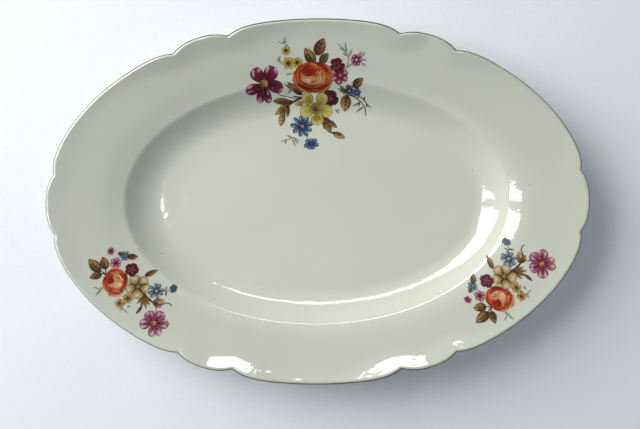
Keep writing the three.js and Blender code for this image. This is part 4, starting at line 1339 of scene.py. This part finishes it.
SIDE_MOTIFS = [
    motif("rose", "coral", side_rose, 0.2, 0),
    motif("cosmos", "rose", cosmos, 25.5, -27.5,
          [(184, 9.3, 7, 0.62), (118, 8.9, 7.2, 0.46), (47, 9.6, 7, 0.46), (-6, 10.4, 6.8, 0.7),
           (-60, 9.2, 5, 0.5), (-97, 8.9, 5.2, 0.5)],
          [(-3.6, 6, 120, 3.8, 1.4), (-1.2, 5.6, 100, 3, 1), (3.2, 5.4, 60, 3.4, 1.3),
           (6, 5.4, 30, 2.6, 1.1), (7.4, 1.4, 20, 3.8, 1.8), (6.6, -1.9, -20, 4, 1.8),
           (3.8, -5.6, -62, 4.2, 2.4), (-0.6, -6, -96, 4.2, 2.4), (-6.2, 1.2, 176, 4.6, 1.6),
           (-6, -2, 190, 4.6, 1.8)],
          ("pink", "blush", "plum", "copper", 1.9)),
    motif("straw_bloom", "straw", open_bloom, 14.6, -3.2,
          [(112, 8, 7), (42, 8.2, 6.8), (-14, 8.2, 6.6), (-92, 8.2, 7.6), (194, 8.2, 6.6)],
          "straw", "straw_light", "copper"),
    motif("blue_flower", "slate", Pad.floret, 27, -6.4, 5.6, 8, "slate", "mist", "white", 10,
          heart_size=0.14, plump=3.5),
    motif("wine_flower", "wine", Pad.floret, 10.6, 8, 4.8, 5, "wine", "magenta", "garnet", 60,
          plump=4.2, lit=(0.1, 0.52)),
    motif("pink_flower", "rose", Pad.floret, 0.4, 12.6, 4, 6, "pink", "blush", "wine", 15, plump=4.6),
    motif("slate_floret", "slate", side_slate_floret),
    motif("leaves", "brown", side_leaves),
    motif("leaf_outer", "brown", Pad.leaf, (19, 3.6), (27.6, 7.4), 3.6, "brown", light="tan"),
    motif("ochre_florets", "tan", side_ochre_florets),
    motif("leaf_fan", "brown", side_leaf_fan),
    motif("blue_bud", "slate", side_blue_bud),
]


# %% Draw the motifs, and lay them where the sprays are
HEAD_SEED = 11
SIDE_SEED = 41
RIGHT_TURN = 87
RIGHT_SKEW = -0.049


def drawn(motifs, first_seed):
    """Every motif on a pad of its own, each with the next seed."""
    pads = []
    for count, (name, family, draw) in enumerate(motifs):
        pad = Pad(first_seed + count)
        draw(pad)
        pads.append((name, family, pad))
    return pads


def spray_at(name, rose_x, rose_y, turn=0, skew=0.0):
    """A spray whose rose sits on the plain model's rose, turned and then leaned a little."""
    low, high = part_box(name + "_rose")
    middle = Vector(((low[0] + high[0]) / 2, (low[1] + high[1]) / 2)) / MM
    shape = Matrix(((1, skew), (skew, 1))) @ Matrix.Rotation(math.radians(turn), 2)
    origin = middle - shape @ Vector((rose_x, rose_y))
    print(name, "spray starts from", [round(value, 1) for value in origin], "mm")
    return {"name": name, "origin": origin, "shape": shape}


head_pads, side_pads = drawn(HEAD_MOTIFS, HEAD_SEED), drawn(SIDE_MOTIFS, SIDE_SEED)
for spray, pads in (
    (spray_at("head", 5, 12), head_pads),
    (spray_at("left", 0.2, 0), side_pads),
    (spray_at("right", 0.2, 0, RIGHT_TURN, RIGHT_SKEW), side_pads),
):
    for name, family, pad in pads:
        lay(pad, name, family, spray)
    total = sum(len(pad.strokes) for name, family, pad in pads)
    print(spray["name"], "spray:", len(pads), "motifs,", total, "strokes")

# %% [markdown]
# ## Floor, camera and light
#
# The platter lies on a plain pale floor, with a pale wall far behind it. The camera looks almost
# straight down on it. Glaze shows its surroundings as a mirror does, so the light is split in two.
# Bright cards on a large dome are only mirrored: one big window to the left that tapers into a
# long narrow strip towards the head, and a side pane. They give a broad patch on the right of the
# well and thin bright lines along its near side. Two soft lamps only light the surfaces. One lamp
# could do both, but then neither its mirror image nor its shading could be tuned alone.

# %% A pale floor
FLOOR_SIZE = 6.0


def pale_floor():
    bpy.ops.mesh.primitive_plane_add(size=FLOOR_SIZE)
    floor = bpy.context.object
    floor.name = "pale_floor"
    material, tree, shader, place = new_material("pale_floor")
    paper = noise_of(tree, place.outputs["Object"], 400.0, 4.0)
    tone = ramp(tree, paper, [(0.3, "f1f4f9"), (0.7, "f5f7fb")])
    tree.links.new(tone, shader.inputs["Base Color"])
    shader.inputs["Roughness"].default_value = 0.8
    floor.data.materials.append(material)


pale_floor()

# %% The camera
CAMERA_PLACE = (0.0190, 0.0179, 0.6154)
CAMERA_TURN = (-2.50, 1.55, -0.52)

camera_data = bpy.data.cameras.new("camera")
camera_data.lens = 50
camera = bpy.data.objects.new("camera", camera_data)
camera.location = CAMERA_PLACE
camera.rotation_euler = [math.radians(angle) for angle in CAMERA_TURN]
scene.collection.objects.link(camera)
scene.camera = camera

# %% Cards that are only mirrored, and a wall that is only seen
DOME = 1.6
WINDOW_EDGES = [
    (78, 50, 53.5), (96, 48, 54.5), (112, 44, 54), (122, 40, 60),
    (132, 32, 63), (146, 31, 64), (154, 31, 74), (175, 32, 74),
]
SIDE_PANE_EDGES = [(184, 36, 75), (190, 45, 74.6), (194, 52, 72), (203, 68, 70)]
WINDOW_BRIGHTNESS = 7.0
CARD_STEPS = 6
WALL_INSET = 0.05
WALL_HEIGHT = 2.5
WALL_SIDES = 64
WALL_BRIGHTNESS = 0.72
COOL_WHITE = (0.93, 0.96, 1.0)


def direction(azimuth, elevation):
    azimuth, elevation = math.radians(azimuth), math.radians(elevation)
    flat = math.cos(elevation)
    return Vector((flat * math.cos(azimuth), flat * math.sin(azimuth), math.sin(elevation)))


def glowing_sheet(name, points, across, colour, brightness):
    """A sheet that only glows, from rows of points. It is part of the studio, not of the platter."""
    faces = []
    for corner in range(len(points) - across):
        if (corner + 1) % across:
            faces.append((corner, corner + 1, corner + across + 1, corner + across))
    mesh = bpy.data.meshes.new(name)
    mesh.from_pydata(points, [], faces)
    sheet = bpy.data.objects.new(name, mesh)
    scene.collection.objects.link(sheet)
    material = bpy.data.materials.new(name)
    material.use_nodes = True
    tree = material.node_tree
    tree.nodes.clear()
    glow = add_node(tree, "ShaderNodeEmission", {"Color": (*colour, 1), "Strength": brightness})
    out = tree.nodes.new("ShaderNodeOutputMaterial")
    tree.links.new(glow.outputs[0], out.inputs[0])
    mesh.materials.append(material)
    sheet.visible_diffuse = False
    return sheet


def part_way(first, second, share):
    return tuple(start + (end - start) * share for start, end in zip(first, second))


def dome_card(name, edges):
    """A card on the dome, from edges that are an azimuth, a lower and an upper elevation."""
    shares = [step / CARD_STEPS for step in range(CARD_STEPS)]
    rows = [part_way(first, second, share) for first, second in zip(edges, edges[1:]) for share in shares]
    points = []
    for azimuth, low, high in rows + edges[-1:]:
        points += [direction(azimuth, low + (high - low) * share) * DOME for share in shares + [1]]
    card = glowing_sheet(name, points, CARD_STEPS + 1, (1, 1, 1), WINDOW_BRIGHTNESS)
    card.visible_camera = False


def backdrop(radius):
    """A pale wall round the floor, seen by the camera and by nothing else."""
    points = []
    for side in range(WALL_SIDES + 1):
        foot = direction(360 * side / WALL_SIDES, 0) * radius
        points += [foot, foot + Vector((0, 0, WALL_HEIGHT))]
    wall = glowing_sheet("pale_backdrop", points, 2, COOL_WHITE, WALL_BRIGHTNESS)
    wall.visible_glossy = False
    wall.visible_shadow = False


dome_card("window", WINDOW_EDGES)
dome_card("side_pane", SIDE_PANE_EDGES)
backdrop(FLOOR_SIZE / 2 - WALL_INSET)


# %% Lamps that only light, and a soft sky
LAMP_DISTANCE = 1.45
SKY_COLOUR = (0.80, 0.87, 1.0, 1)
SKY_STRENGTH = 0.27


def soft_light(name, azimuth, elevation, size, watts, colour):
    """A square lamp that lights surfaces softly and is not mirrored by them."""
    data = bpy.data.lights.new(name, "AREA")
    data.size = size
    data.energy = watts
    data.color = colour
    lamp = bpy.data.objects.new(name, data)
    lamp.location = direction(azimuth, elevation) * LAMP_DISTANCE
    lamp.rotation_euler = (-direction(azimuth, elevation)).to_track_quat("-Z", "Y").to_euler()
    lamp.visible_glossy = False
    scene.collection.objects.link(lamp)


soft_light("window_glow", azimuth=148, elevation=32, size=1.4, watts=31.5, colour=(1, 1, 1))
soft_light("room_glow", azimuth=-25, elevation=36, size=1.6, watts=1.8, colour=COOL_WHITE)

sky = bpy.data.worlds.new("soft_sky")
sky.use_nodes = True
sky.node_tree.nodes["Background"].inputs["Color"].default_value = SKY_COLOUR
sky.node_tree.nodes["Background"].inputs["Strength"].default_value = SKY_STRENGTH
scene.world = sky
print(len(bpy.data.lights), "lamps and a sky of strength", SKY_STRENGTH)

# %% [markdown]
# ## The end

# %% Clear away the spokes
bpy.data.objects.remove(spoke_points)
